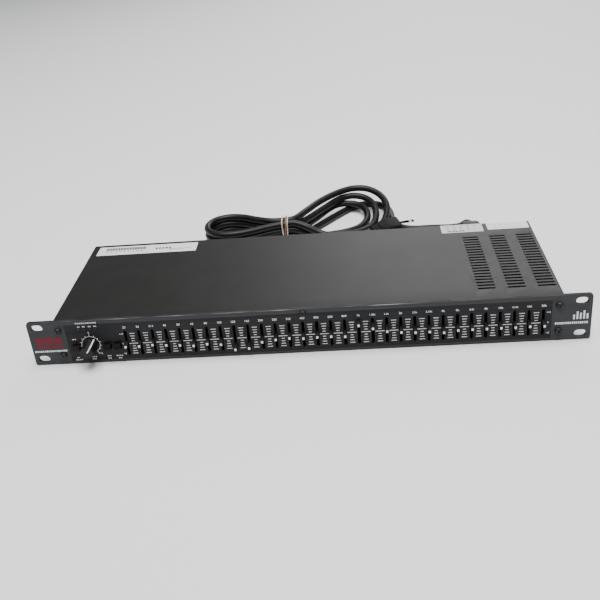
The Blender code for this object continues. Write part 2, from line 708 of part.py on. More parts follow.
def make_gain_shaft(parts, surface):
    bm = bmesh.new()
    y_back = CONTROLS_Y + GAIN_POT_DEPTH / 2 - GAP
    y_front = FRONT_Y - KNOB_PROUD + KNOB_WALL_FRONT + GAP
    add_rod(bm, (0.0, 0.0), SHAFT_RADIUS, y_front - FRONT_Y, y_back - FRONT_Y, 20)
    shaft = mesh_object("gain_shaft", bm, parts, surface)
    shaft.location = (GAIN_X, FRONT_Y, GAIN_Z)


def make_gain_pot(parts, tools, surface):
    """The round potentiometer, whose bush goes through the panel and holds the shaft."""
    place = (GAIN_X, GAIN_Z)
    bm = bmesh.new()
    add_rod(bm, place, GAIN_POT_RADIUS, CONTROLS_Y, CONTROLS_Y + GAIN_POT_DEPTH)
    pot = mesh_object("gain_pot", bm, parts, surface)
    bm = bmesh.new()
    add_rod(bm, place, BUSH_RADIUS, FRONT_Y + GAP, CONTROLS_Y + OVERLAP, 20)
    combine(pot, tool_object("gain_bush", bm, tools), "UNION")
    bm = bmesh.new()
    bore = SHAFT_RADIUS + SHAFT_CLEARANCE
    add_rod(bm, place, bore, FRONT_Y - CUT, CONTROLS_Y + GAIN_POT_DEPTH / 2, 20)
    combine(pot, tool_object("gain_bore", bm, tools))


def make_button(label, x, rise, parts, tools, surface):
    """A cap with a rounded front and the plunger behind it, about the middle of its front face."""
    half_w, half_h = BUTTON_WIDTH / 2, BUTTON_HEIGHT / 2
    bm = bmesh.new()
    add_box(bm, (-half_w, 0.0, -half_h), (half_w, BUTTON_LENGTH, half_h))
    front = [e for e in bm.edges if all(v.co.y < OVERLAP for v in e.verts)]
    bmesh.ops.bevel(bm, geom=front, offset=BUTTON_EDGE, segments=2, profile=0.5, affect="EDGES")
    button = mesh_object(f"{label}_button", bm, parts, surface)
    button.location = (x, FRONT_Y - BUTTON_PROUD, MID_Z + rise)

    half = PLUNGER_SIZE / 2
    bm = bmesh.new()
    add_box(bm, (-half, BUTTON_LENGTH - OVERLAP, -half),
            (half, BUTTON_LENGTH + PLUNGER_LENGTH, half))
    plunger = tool_object(f"{label}_plunger", bm, tools)
    plunger.location = button.location
    combine(button, plunger, "UNION")


def make_switch_board(parts, tools, surface):
    """The small board behind the buttons, with a switch that has a square way in for each."""
    front = FRONT_Y - BUTTON_PROUD + BUTTON_LENGTH + BUTTON_TRAVEL + GAP
    back = front + SWITCH_DEPTH
    half = PLUNGER_SIZE / 2 + GAP + SWITCH_WALL
    places = [(x, MID_Z + rise) for _, x, rise in BUTTONS]
    side = half + SWITCH_BOARD_MARGIN
    low_x, high_x = min(x for x, _ in places) - side, max(x for x, _ in places) + side
    middle = sum(z for _, z in places) / len(places)
    bm = bmesh.new()
    add_box(bm, (low_x, back, middle - SWITCH_BOARD_HEIGHT / 2),
            (high_x, back + BOARD_THICKNESS, middle + SWITCH_BOARD_HEIGHT / 2))
    board = mesh_object("switch_board", bm, parts, surface)

    reach = front + PLUNGER_LENGTH
    way = PLUNGER_SIZE / 2 + GAP
    bodies, ways = bmesh.new(), bmesh.new()
    for x, z in places:
        add_box(bodies, (x - half, front, z - SWITCH_HEIGHT / 2),
                (x + half, back + OVERLAP, z + SWITCH_HEIGHT / 2))
        add_box(ways, (x - way, front - CUT, z - way), (x + way, reach, z + way))
    combine(board, tool_object("switch_bodies", bodies, tools), "UNION")
    combine(board, tool_object("switch_ways", ways, tools))


def make_buttons(parts, tools, surfaces):
    for label, x, rise in BUTTONS:
        surface = surfaces["bypass_button"] if label == "bypass" else surfaces["black_plastic"]
        make_button(label, x, rise, parts, tools, surface)


def make_level_meter(parts, tools, surface):
    """The lamp holder, an L-shaped plate, with its lamps standing forward into the panel."""
    margin = LAMP_RADIUS + LAMP_PLATE_MARGIN
    back = CONTROLS_Y + LAMP_PLATE
    meter_z = MID_Z + METER_LAMP_RISE
    overload_z = MID_Z - OVERLOAD_LAMP_DROP
    left = OVERLOAD_LAMP_X - margin
    bm = bmesh.new()
    add_box(bm, (left, CONTROLS_Y, meter_z - margin),
            (METER_LAMP_XS[-1] + margin, back, meter_z + margin))
    meter = mesh_object("level_meter", bm, parts, surface)
    bm = bmesh.new()
    add_box(bm, (left, CONTROLS_Y, overload_z - LAMP_RADIUS - GAP),
            (OVERLOAD_LAMP_X + margin, back, meter_z - margin + OVERLAP))
    combine(meter, tool_object("meter_leg", bm, tools), "UNION")
    bm = bmesh.new()
    for place in lamp_places():
        add_rod(bm, place, LAMP_RADIUS, FRONT_Y, CONTROLS_Y + OVERLAP, 12)
    combine(meter, tool_object("meter_lamps", bm, tools), "UNION")


# Inside


def main_board_limits():
    front = CONTROLS_Y + POT_DEPTH + BOARD_THICKNESS + MAIN_BOARD_FRONT_SPACE
    return (MAIN_BOARD_X[0], front), (MAIN_BOARD_X[1], REAR_Y - MAIN_BOARD_REAR_SPACE)


def post_places():
    low, high = main_board_limits()
    middle = (low[0] + high[0]) / 2
    xs = (low[0] + POST_INSET, middle, high[0] - POST_INSET)
    return [(x, y) for x in xs for y in (low[1] + POST_INSET, high[1] - POST_INSET)]


def make_main_board(parts, tools, surface):
    """The flat board on its posts, with capacitors, heat sinks and chips."""
    low, high = main_board_limits()
    top = MAIN_BOARD_LIFT + BOARD_THICKNESS
    bm = bmesh.new()
    add_box(bm, (*low, MAIN_BOARD_LIFT), (*high, top))
    board = mesh_object("main_board", bm, parts, surface)
    bm = bmesh.new()
    for number in range(CAPACITORS):
        place = (high[0] - CAPACITOR_PITCH * (number + 1), high[1] - CAPACITOR_REAR_INSET)
        add_post(bm, place, CAPACITOR_RADIUS, top - OVERLAP, top + CAPACITOR_HEIGHT)
    length, width, height = HEAT_SINK_SIZE
    y = low[1] + HEAT_SINK_FRONT_INSET
    for number in range(HEAT_SINKS):
        x = high[0] - HEAT_SINK_SIDE_INSET - HEAT_SINK_PITCH * number
        add_box(bm, (x, y, top - OVERLAP), (x + length, y + width, top + height))
    length, width, height = CHIP_SIZE
    y = low[1] + CHIP_FRONT_INSET
    for number in range(CHIPS):
        x = low[0] + CHIP_SIDE_INSET + CHIP_PITCH * number
        add_box(bm, (x, y, top - OVERLAP), (x + length, y + width, top + height))
    for place in post_places():
        add_post(bm, place, POST_RADIUS, SHEET + GAP, MAIN_BOARD_LIFT + OVERLAP, POST_STEPS)
    combine(board, tool_object("main_board_components", bm, tools), "UNION")


def make_transformer(parts, tools, surface):
    """An E-core transformer: core, coil and foot in one solid."""
    x, z = CASE_HALF - TRANSFORMER_SIDE_SPACE, SHEET + GAP

    def block(name, size, z_low, collection):
        bm = bmesh.new()
        add_box(bm, (x - size[0] / 2, TRANSFORMER_Y - size[1] / 2, z_low),
                (x + size[0] / 2, TRANSFORMER_Y + size[1] / 2, z_low + size[2]))
        return mesh_object(name, bm, collection, surface)

    core = block("mains_transformer", CORE_SIZE, z, parts)
    coil_lift = (CORE_SIZE[2] - COIL_SIZE[2]) / 2
    for name, size, lift in (("coil", COIL_SIZE, coil_lift), ("foot", FOOT_SIZE, 0.0)):
        tool = block("transformer_" + name, size, z + lift, tools)
        combine(core, as_tool(tool), "UNION")


# Rear sockets


def make_iec_inlet(parts, tools, surface):
    """The mains inlet: a bezel on the rear wall, a body through it and a recess with blades."""
    place = (INLET_X, SOCKET_Z)
    half_x, half_z = INLET_BEZEL[0] / 2, INLET_BEZEL[1] / 2
    outline = rounded_rectangle((INLET_X - half_x, SOCKET_Z - half_z),
                                (INLET_X + half_x, SOCKET_Z + half_z), INLET_BEZEL_CORNER)
    bezel = upright_plate("iec_inlet", [outline], BEZEL_BACK_Y, BEZEL_FRONT_Y, parts, surface)
    bm = bmesh.new()
    half_x, half_z = INLET_BODY[0] / 2, INLET_BODY[1] / 2
    add_box(bm, (INLET_X - half_x, BEZEL_FRONT_Y - INLET_DEPTH, SOCKET_Z - half_z),
            (INLET_X + half_x, BEZEL_BACK_Y + OVERLAP, SOCKET_Z + half_z))
    combine(bezel, tool_object("inlet_body", bm, tools), "UNION")
    floor_y = BEZEL_FRONT_Y - INLET_RECESS_DEPTH
    size = [s + 2 * NOSE_CLEARANCE for s in PLUG_NOSE]
    outline = chamfered(place, *size, NOSE_CHAMFER)
    recess = upright_plate("inlet_recess", [outline], floor_y, BEZEL_FRONT_Y + CUT, tools)
    as_tool(recess)
    combine(bezel, recess)
    bm = bmesh.new()
    for x, z in blade_places():
        add_box(bm, (x - BLADE_SIZE[1] / 2, floor_y - OVERLAP, z - BLADE_SIZE[0] / 2),
                (x + BLADE_SIZE[1] / 2, floor_y + BLADE_LENGTH, z + BLADE_SIZE[0] / 2))
    combine(bezel, tool_object("inlet_blades", bm, tools), "UNION")


def blade_places():
    """The three blades of the inlet: earth in the middle, above the other two."""
    return [(INLET_X - BLADE_SPACING, SOCKET_Z - BLADE_RISE), (INLET_X, SOCKET_Z + BLADE_RISE),
            (INLET_X + BLADE_SPACING, SOCKET_Z - BLADE_RISE)]


def xlr_pin_places(x):
    turns = [math.radians(a) for a in XLR_PIN_ANGLES]
    return [(x + XLR_PIN_CIRCLE * math.cos(t), SOCKET_Z + XLR_PIN_CIRCLE * math.sin(t))
            for t in turns]


def make_xlr_body(name, x, parts, surface):
    bm = bmesh.new()
    add_rod(bm, (x, SOCKET_Z), XLR_RADIUS, REAR_Y - XLR_DEPTH, REAR_Y + XLR_PROUD)
    return mesh_object(name, bm, parts, surface)


def make_xlr_output(parts, tools, surface):
    """A three-pin output socket: a cup with pins."""
    body = make_xlr_body("xlr_output", XLR_OUTPUT_X, parts, surface)
    floor_y = REAR_Y + XLR_PROUD - XLR_CUP_DEPTH
    bm = bmesh.new()
    add_rod(bm, (XLR_OUTPUT_X, SOCKET_Z), XLR_CUP_RADIUS, floor_y, REAR_Y + XLR_PROUD + CUT)
    combine(body, tool_object("xlr_cup", bm, tools))
    bm = bmesh.new()
    for place in xlr_pin_places(XLR_OUTPUT_X):
        add_rod(bm, place, XLR_PIN_RADIUS, floor_y - OVERLAP, REAR_Y - GAP, 8)
    combine(body, tool_object("xlr_pins", bm, tools), "UNION")


def make_xlr_input(parts, tools, surface):
    """A three-hole input socket: a ring groove round a core with holes for the pins."""
    body = make_xlr_body("xlr_input", XLR_INPUT_X, parts, surface)
    floor_y = REAR_Y + XLR_PROUD - XLR_CUP_DEPTH
    bm = bmesh.new()
    add_rod(bm, (XLR_INPUT_X, SOCKET_Z), XLR_CUP_RADIUS, floor_y, REAR_Y + XLR_PROUD + CUT)
    combine(body, tool_object("xlr_groove", bm, tools))
    bm = bmesh.new()
    add_rod(bm, (XLR_INPUT_X, SOCKET_Z), XLR_CORE_RADIUS, floor_y - OVERLAP, REAR_Y + XLR_PROUD - GAP)
    combine(body, tool_object("xlr_core", bm, tools), "UNION")
    bm = bmesh.new()
    for place in xlr_pin_places(XLR_INPUT_X):
        add_rod(bm, place, XLR_HOLE_RADIUS, floor_y, REAR_Y + XLR_PROUD + CUT, 8)
    combine(body, tool_object("xlr_holes", bm, tools))


# Mains cord


def make_cord_connector(parts, tools, surface):
    """The connector in the inlet: nose, grip and a tapered relief that bends with the cord."""
    place = (INLET_X, SOCKET_Z)
    grip_front = BEZEL_FRONT_Y + GAP
    outline = chamfered(place, *CONNECTOR_GRIP, NOSE_CHAMFER)
    connector = upright_plate("cord_connector", [outline], grip_front, CONNECTOR_REAR_Y,
                              parts, surface)
    nose_front = BEZEL_FRONT_Y - INLET_RECESS_DEPTH + NOSE_CLEARANCE
    outline = chamfered(place, *PLUG_NOSE, NOSE_CHAMFER)
    nose = upright_plate("connector_nose", [outline], nose_front, grip_front + OVERLAP, tools)
    combine(connector, as_tool(nose), "UNION")
    bm = bmesh.new()
    for x, z in blade_places():
        half_x, half_z = BLADE_SIZE[1] / 2 + NOSE_CLEARANCE, BLADE_SIZE[0] / 2 + NOSE_CLEARANCE
        add_box(bm, (x - half_x, nose_front - CUT, z - half_z),
                (x + half_x, nose_front + BLADE_LENGTH + NOSE_CLEARANCE, z + half_z))
    combine(connector, tool_object("connector_blade_holes", bm, tools))
    relief_line, _ = cut_route(smooth_points(LEAD_ROUTE, ROUTE_STEP), RELIEF_LENGTH)
    inside = relief_line[0] - Vector((0.0, RELIEF_ROOT, 0.0))
    taper = (RELIEF_END_RADIUS - RELIEF_RADIUS) / (len(relief_line) - 1)
    radii = [RELIEF_RADIUS] + [RELIEF_RADIUS + taper * i for i in range(len(relief_line))]
    relief = tube("connector_relief", [inside] + relief_line, radii, tools, surface)
    combine(connector, as_tool(relief), "UNION")


def make_cord_lead(parts, surface):
    """The stretch of cord between the connector and the hank."""
    _, lead = cut_route(smooth_points(LEAD_ROUTE, ROUTE_STEP), RELIEF_LENGTH)
    kept = [lead[0]] + lead[1:-2:LEAD_SKIP] + lead[-2:]
    tube("cord_lead", kept, [CORD_DIAMETER / 2] * len(kept), parts, surface)


def make_cord_hank(parts, surface):
    """The tied-up part of the cord as one plain solid of its outer shape."""
    points = [Vector((x * MM, y * MM)) for x, y in HANK_OUTLINE]
    curve = outline_curve("cord_hank", [points], HANK_HEIGHT, parts)
    curve.location = (0.0, 0.0, GAP + HANK_HEIGHT / 2)
    as_mesh(curve, parts, surface)


def make_mains_plug(parts, tools, surface):
    """The three-pin plug on its side: body, relief, two blades one above the other, earth pin."""
    turn = Matrix.Translation(PLUG_FACE) @ Matrix.Rotation(PLUG_TURN, 4, "Z")
    bm = bmesh.new()
    half_y, half_z = PLUG_BODY[0] / 2, PLUG_BODY[1] / 2
    add_box(bm, (-PLUG_BODY_LENGTH, -half_y, -half_z), (0.0, half_y, half_z))
    for vert in bm.verts:
        if vert.co.x < -PLUG_BODY_LENGTH / 2:
            vert.co.y *= PLUG_REAR[0] / PLUG_BODY[0]
            vert.co.z *= PLUG_REAR[1] / PLUG_BODY[1]
    plug = mesh_object("mains_plug", bm, parts, surface)
    plug.matrix_world = turn

    def add_piece(name, bm):
        tool = tool_object(name, bm, tools)
        tool.matrix_world = turn
        combine(plug, tool, "UNION")

    bm = bmesh.new()
    along_x = Matrix.Rotation(math.radians(90), 4, "Y")
    middle = Matrix.Translation((-PLUG_BODY_LENGTH - PLUG_RELIEF_LENGTH / 2 + OVERLAP, 0.0, 0.0))
    bmesh.ops.create_cone(bm, cap_ends=True, segments=16, radius1=RELIEF_END_RADIUS,
                          radius2=RELIEF_RADIUS, depth=PLUG_RELIEF_LENGTH,
                          matrix=middle @ along_x)
    add_piece("plug_relief", bm)
    bm = bmesh.new()
    length, width, thickness = PLUG_BLADE
    for side in (-1, 1):
        z = side * PLUG_BLADE_SPACING / 2
        low_y = PLUG_BLADE_OFFSET - width / 2
        add_box(bm, (-OVERLAP, low_y, z - thickness / 2), (length, low_y + width, z + thickness / 2))
    middle = Matrix.Translation((PLUG_EARTH_LENGTH / 2 - OVERLAP, -PLUG_EARTH_OFFSET, 0.0))
    bmesh.ops.create_cone(bm, cap_ends=True, segments=12, radius1=PLUG_EARTH_RADIUS,
                          radius2=PLUG_EARTH_RADIUS, depth=PLUG_EARTH_LENGTH,
                          matrix=middle @ along_x)
    add_piece("plug_blades", bm)


def make_materials():
    return {
        "panel_paint": material("panel_paint", (0.045, 0.049, 0.053), 0.5, 0.0),
        "cover_paint": material("cover_paint", (0.035, 0.035, 0.036), 0.45, 0.0),
        "zinc": material("zinc", (0.5, 0.5, 0.5), 0.4, 0.9),
        "screw_black": material("screw_black", (0.02, 0.02, 0.02), 0.35, 0.6),
        "black_plastic": material("black_plastic", (0.015, 0.015, 0.016), 0.45),
        "bypass_button": material("bypass_button", (0.045, 0.018, 0.02), 0.4),
        "switch": material("switch", (0.03, 0.03, 0.03), 0.6),
        "lamp": material("lamp", (0.08, 0.06, 0.06), 0.25),
        "circuit_board": material("circuit_board", (0.02, 0.11, 0.05), 0.5),
        "core_steel": material("core_steel", (0.2, 0.19, 0.18), 0.5, 0.6),
        "steel": material("steel", (0.6, 0.6, 0.6), 0.3, 1.0),
        "cord_rubber": material("cord_rubber", (0.012, 0.012, 0.013), 0.5),
    }


def main():
    clear_scene()
    parts = new_collection("equalizer")
    tools = new_collection("equalizer_tools")
    surfaces = make_materials()

    make_front_panel(parts, surfaces["panel_paint"])
    make_front_screws(parts, tools, surfaces["screw_black"])
    make_chassis_tray(parts, tools, surfaces["zinc"])
    make_rear_panel(parts, surfaces["cover_paint"])
    make_top_cover(parts, tools, surfaces["cover_paint"])

    make_slider_board(parts, tools, surfaces["circuit_board"])
    make_slider_levers(parts, tools, surfaces["black_plastic"])
    make_gain_knob(parts, tools, surfaces["black_plastic"])
    make_gain_shaft(parts, surfaces["steel"])
    make_gain_pot(parts, tools, surfaces["switch"])
    make_buttons(parts, tools, surfaces)
    make_switch_board(parts, tools, surfaces["circuit_board"])
    make_level_meter(parts, tools, surfaces["lamp"])

    make_main_board(parts, tools, surfaces["circuit_board"])
    make_transformer(parts, tools, surfaces["core_steel"])

    make_iec_inlet(parts, tools, surfaces["black_plastic"])
    make_xlr_output(parts, tools, surfaces["black_plastic"])
    make_xlr_input(parts, tools, surfaces["black_plastic"])

    make_cord_connector(parts, tools, surfaces["cord_rubber"])
    make_cord_lead(parts, surfaces["cord_rubber"])
    make_cord_hank(parts, surfaces["cord_rubber"])
    make_mains_plug(parts, tools, surfaces["cord_rubber"])
    bpy.context.view_layer.update()


main()
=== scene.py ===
"""Looks of a one-unit graphic equalizer with a tied-up mains cord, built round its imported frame.

X runs to the right along the front, Y to the back and Z up, in metres. Sizes below are in metres
too, and MM turns millimetres into them.
"""

import logging
import math
from dataclasses import dataclass, field
from enum import Enum
from typing import Callable

import bmesh
import bpy
from mathutils import Matrix, Vector
from mathutils.geometry import interpolate_bezier

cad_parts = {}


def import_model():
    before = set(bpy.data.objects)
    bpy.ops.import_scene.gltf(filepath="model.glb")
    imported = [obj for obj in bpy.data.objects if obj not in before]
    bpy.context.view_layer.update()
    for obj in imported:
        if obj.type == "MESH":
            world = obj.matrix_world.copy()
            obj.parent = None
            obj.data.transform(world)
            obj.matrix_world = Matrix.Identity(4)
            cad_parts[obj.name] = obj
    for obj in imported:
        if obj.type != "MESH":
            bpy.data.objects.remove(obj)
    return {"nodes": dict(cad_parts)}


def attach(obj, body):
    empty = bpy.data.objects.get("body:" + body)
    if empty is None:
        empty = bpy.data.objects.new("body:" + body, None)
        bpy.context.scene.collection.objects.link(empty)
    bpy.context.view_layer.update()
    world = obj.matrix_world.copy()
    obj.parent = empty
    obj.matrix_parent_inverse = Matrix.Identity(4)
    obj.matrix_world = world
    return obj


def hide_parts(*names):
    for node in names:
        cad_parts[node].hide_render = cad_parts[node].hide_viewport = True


log = logging.getLogger("equalizer")

MM = 0.001
Point = tuple[float, float, float]
Route = list[Point]
Color = tuple[float, float, float]
Socket = bpy.types.NodeSocket
DUST_COLOR: Color = (0.45, 0.43, 0.4)
DUST_ROUGHNESS = 0.3
SCRATCH_ROUGHNESS = 0.2


def in_metres(points: Route) -> list[Vector]:
    """Returns points that are given in millimetres as vectors in metres."""
    return [Vector(point) * MM for point in points]


def smooth_line(points: list[Vector], step: float) -> list[Vector]:
    """Returns evenly spaced points on a smooth curve through some points.

    Args:
        points: The points that the curve passes through.
        step: The distance between the points of the result.

    Returns:
        The spaced points, with both ends of the curve among them.
    """
    ends = [points[0] * 2 - points[1]] + points + [points[-1] * 2 - points[-2]]
    line: list[Vector] = []
    for before, start, end, after in zip(ends, ends[1:], ends[2:], ends[3:]):
        leaving, arriving = start + (end - before) / 6, end - (after - start) / 6
        line += interpolate_bezier(start, leaving, arriving, end, 17)[:-1]
    line.append(points[-1])
    total = sum((b - a).length for a, b in zip(line, line[1:]))
    count = round(total / step)
    spaced, walked, wanted = [line[0]], 0.0, total / count
    for start, end in zip(line, line[1:]):
        span = (end - start).length
        while wanted <= walked + span and len(spaced) < count:
            spaced.append(start.lerp(end, (wanted - walked) / span))
            wanted += total / count
        walked += span
    return spaced + [line[-1]]


def from_distance(line: list[Vector], distance: float) -> list[Vector]:
    """Returns the rest of a line from a distance along it."""
    walked = 0.0
    for index, (start, end) in enumerate(zip(line, line[1:])):
        span = (end - start).length
        if walked + span > distance:
            return [start.lerp(end, (distance - walked) / span)] + line[index + 1:]
        walked += span
    return line[-2:]


# Finishes


class Tree:
    """Makes and links shader nodes with few words."""

    def __init__(self, tree: bpy.types.NodeTree) -> None:
        """Starts on a node tree.

        Args:
            tree: The tree of a material or of a node group.
        """
        self.tree = tree

    def add(self, kind: str, inputs: dict | None = None, **settings) -> bpy.types.Node:
        """Adds a node.

        Args:
            kind: The node's type, without its leading ShaderNode.
            inputs: What goes into each named or numbered input, a socket or a value.
            settings: The node's own settings.

        Returns:
            The new node.
        """
        node = self.tree.nodes.new("ShaderNode" + kind)
        for name, value in settings.items():
            setattr(node, name, value)
        for name, value in (inputs or {}).items():
            if isinstance(value, bpy.types.NodeSocket):
                self.tree.links.new(value, node.inputs[name])
            else:
                node.inputs[name].default_value = value
        return node

    def math(self, operation: str, first, second=0.0, clamp: bool = False) -> Socket:
        """Returns the result of a math node on two values."""
        inputs = {0: first, 1: second}
        return self.add("Math", inputs, operation=operation, use_clamp=clamp).outputs[0]

    def mix(self, share, first, second) -> Socket:
        """Returns a mix of two colours by a share of the second."""
        node = self.add("Mix", data_type="RGBA")
        for number, value in ((0, share), (6, first), (7, second)):
            if isinstance(value, bpy.types.NodeSocket):
                self.tree.links.new(value, node.inputs[number])
            elif number == 0:
                node.inputs[0].default_value = value
            else:
                node.inputs[number].default_value = (*value, 1.0)
        return node.outputs[2]

    def between(self, value: Socket, low: float, high: float,
                to_low: float = 0.0, to_high: float = 1.0) -> Socket:
        """Returns a value moved from one range to another and kept in it."""
        inputs = {"Value": value, 1: low, 2: high, 3: to_low, 4: to_high}
        return self.add("MapRange", inputs, clamp=True).outputs[0]

    def axes(self, vector: Socket) -> tuple[Socket, Socket, Socket]:
        """Returns the three numbers of a vector."""
        return tuple(self.add("SeparateXYZ", {0: vector}).outputs)

    def inside(self, value: Socket, low: float, high: float, soft: float) -> Socket:
        """Returns 1 where a value lies between two limits, with soft ends."""
        rise = self.between(value, low - soft, low + soft)
        fall = self.between(value, high - soft, high + soft, 1.0, 0.0)
        return self.math("MULTIPLY", rise, fall)


def new_group(name: str, inputs: dict[str, float | None],
              outputs: tuple[str, ...]) -> tuple[bpy.types.NodeTree, Tree, dict[str, Socket]]:
    """Starts a shader node group.

    Args:
        name: The group's name.
        inputs: The start value of each number input; None makes it a vector.
        outputs: The names of the outputs, which are numbers.

    Returns:
        The group, a helper on its tree, and its inputs as seen from inside.
    """
    group = bpy.data.node_groups.new(name, "ShaderNodeTree")
    for label, value in inputs.items():
        kind = "NodeSocketVector" if value is None else "NodeSocketFloat"
        item = group.interface.new_socket(label, in_out="INPUT", socket_type=kind)
        if value is not None:
            item.default_value = value
    for label in outputs:
        group.interface.new_socket(label, in_out="OUTPUT", socket_type="NodeSocketFloat")
    tree = Tree(group)
    entry = group.nodes.new("NodeGroupInput")
    return group, tree, {label: entry.outputs[label] for label in inputs}


def close_group(tree: Tree, results: dict[str, Socket]) -> None:
    """Links results to a group's outputs."""
    end = tree.tree.nodes.new("NodeGroupOutput")
    for label, socket in results.items():
        tree.tree.links.new(socket, end.inputs[label])


class Effects:
    """The shader groups that several finishes share."""

    def __init__(self) -> None:
        """Builds each group once."""
        self.grain = self.make_grain()
        self.wear = self.make_wear()
        self.dust = self.make_dust()
        self.scratches = self.make_scratches()

    def make_grain(self) -> bpy.types.NodeTree:
        """Fine grain over broad, faint patches."""
        inputs = {"Vector": None, "Scale": 2500.0, "Patch Scale": 25.0}
        group, tree, entry = new_group("grain", inputs, ("Height", "Patches"))
        fine = tree.add("TexNoise", {"Vector": entry["Vector"], "Scale": entry["Scale"],
                                     "Detail": 3.0, "Roughness": 0.6})
        patch = tree.add("TexNoise", {"Vector": entry["Vector"], "Scale": entry["Patch Scale"],
                                      "Detail": 5.0, "Roughness": 0.65})
        patches = tree.between(patch.outputs[0], 0.3, 0.7)
        close_group(tree, {"Height": fine.outputs[0], "Patches": patches})
        return group

    def make_wear(self) -> bpy.types.NodeTree:
        """Edges rubbed in broken stretches."""
        inputs = {"Vector": None, "Radius": 0.4 * MM, "Amount": 0.5}
        group, tree, entry = new_group("edge_wear", inputs, ("Mask",))
        bevel = tree.add("Bevel", {"Radius": entry["Radius"]}, samples=4)
        normal = tree.add("NewGeometry").outputs["Normal"]
        dot = tree.add("VectorMath", {0: bevel.outputs[0], 1: normal}, operation="DOT_PRODUCT")
        edge = tree.between(dot.outputs["Value"], 0.99, 0.85)
        noise = tree.add("TexNoise", {"Vector": entry["Vector"], "Scale": 160.0, "Detail": 4.0})
        broken = tree.between(noise.outputs[0], 0.42, 0.62)
        mask = tree.math("MULTIPLY", tree.math("MULTIPLY", edge, broken), entry["Amount"])
        close_group(tree, {"Mask": mask})
        return group

    def make_dust(self) -> bpy.types.NodeTree:
        """Dust that settles on faces that look up, with a few specks."""
        inputs = {"Vector": None, "Amount": 0.2}
        group, tree, entry = new_group("dust", inputs, ("Mask",))
        normal = tree.add("NewGeometry").outputs["Normal"]
        upward = tree.between(tree.axes(normal)[2], 0.2, 0.9)
        film = tree.add("TexNoise", {"Vector": entry["Vector"], "Scale": 45.0, "Detail": 6.0})
        specks = tree.add("TexVoronoi", {"Vector": entry["Vector"], "Scale": 220.0})
        spot = tree.between(specks.outputs["Distance"], 0.05, 0.1, 0.6, 0.0)
        spread = tree.between(film.outputs[0], 0.4, 0.75)
        layer = tree.math("ADD", spread, tree.math("MULTIPLY", spot, spread))
        mask = tree.math("MULTIPLY", tree.math("MULTIPLY", layer, upward), entry["Amount"], True)
        close_group(tree, {"Mask": mask})
        return group

    def make_scratches(self) -> bpy.types.NodeTree:
        """Long thin scratches that cross at small angles."""
        inputs = {"Vector": None, "Amount": 0.3}
        group, tree, entry = new_group("scratches", inputs, ("Mask",))
        masks = []
        for turn, stretch in ((0.12, (9.0, 420.0, 420.0)), (1.35, (14.0, 520.0, 520.0))):
            place = tree.add("Mapping", {"Vector": entry["Vector"], "Rotation": (0.0, 0.0, turn),
                                         "Scale": stretch})
            noise = tree.add("TexNoise", {"Vector": place.outputs[0], "Scale": 1.0, "Detail": 1.0})
            masks.append(tree.between(noise.outputs[0], 0.71, 0.76))
        both = tree.math("MAXIMUM", *masks)
        close_group(tree, {"Mask": tree.math("MULTIPLY", both, entry["Amount"])})
        return group


@dataclass(frozen=True)
class Finish:
    """A finish with grain, patches, rubbed edges, scratches and dust.

    Attributes:
        name: The material's name.
        color: Its base colour.
        roughness: Its mean roughness.
        metallic: How metallic it is.
        grain: How many grains to a metre.
        depth: How deep the grain is, in metres.
        patches: How far roughness moves from place to place.
        worn_color: What shows where an edge is rubbed.
        wear: How much the edges are rubbed.
        scratches: How strong the scratches are.
        dust: How much dust lies on it.
        coat: The weight of a clear coat.
        gloss: Its specular level.
        mottle: How far the colour moves from place to place.
    """

    name: str
    color: Color
    roughness: float
    metallic: float = 0.0
    grain: float = 2500.0
    depth: float = 0.02 * MM
    patches: float = 0.12
    worn_color: Color = (0.25, 0.25, 0.25)
    wear: float = 0.3
    scratches: float = 0.0
    dust: float = 0.1
    coat: float = 0.0
    gloss: float = 0.5
    mottle: float = 0.05

    def tint(self, tree: Tree, where: Socket, color: Socket | Color) -> Socket | Color:
        """Returns the colour with the finish's own pattern in it; plain here.

        Args:
            tree: The material's tree.
            where: The place on the piece.
            color: The colour so far.

        Returns:
            The colour to go on with.
        """
        return color

    def make(self, effects: Effects) -> bpy.types.Material:
        """Builds the material.

        Args:
            effects: The shared shader groups.

        Returns:
            The material.
        """
        material = bpy.data.materials.new(self.name)
        material.use_nodes = True
        tree = Tree(material.node_tree)
        shader = material.node_tree.nodes["Principled BSDF"]
        where = tree.add("TexCoord").outputs["Object"]
        grain = tree.add("Group", {"Vector": where, "Scale": self.grain}, node_tree=effects.grain)
        shade = [tuple(c * f for c in self.color) for f in (1 - self.mottle, 1 + self.mottle)]
        color = self.tint(tree, where, tree.mix(grain.outputs["Patches"], *shade))
        rough = tree.between(grain.outputs["Patches"], 0.0, 1.0,
                             self.roughness - self.patches / 2, self.roughness + self.patches / 2)
        for group, amount, cover, rise in ((effects.wear, self.wear, self.worn_color, 0.0),
                                           (effects.scratches, self.scratches, self.worn_color,
                                            SCRATCH_ROUGHNESS),
                                           (effects.dust, self.dust, DUST_COLOR, DUST_ROUGHNESS)):
            if amount:
                node = tree.add("Group", {"Vector": where, "Amount": amount}, node_tree=group)
                mask = node.outputs["Mask"]
                color = tree.mix(mask, color, cover)
                if rise:
                    rough = tree.math("ADD", rough, tree.math("MULTIPLY", mask, rise),
                                      group is effects.dust)
        bump = tree.add("Bump", {"Height": grain.outputs["Height"], "Strength": 1.0,
                                 "Distance": self.depth})
        tree.tree.links.new(color, shader.inputs["Base Color"])
        tree.tree.links.new(rough, shader.inputs["Roughness"])
        tree.tree.links.new(bump.outputs[0], shader.inputs["Normal"])
        shader.inputs["Metallic"].default_value = self.metallic
        shader.inputs["Coat Weight"].default_value = self.coat
        shader.inputs["Specular IOR Level"].default_value = self.gloss
        return material


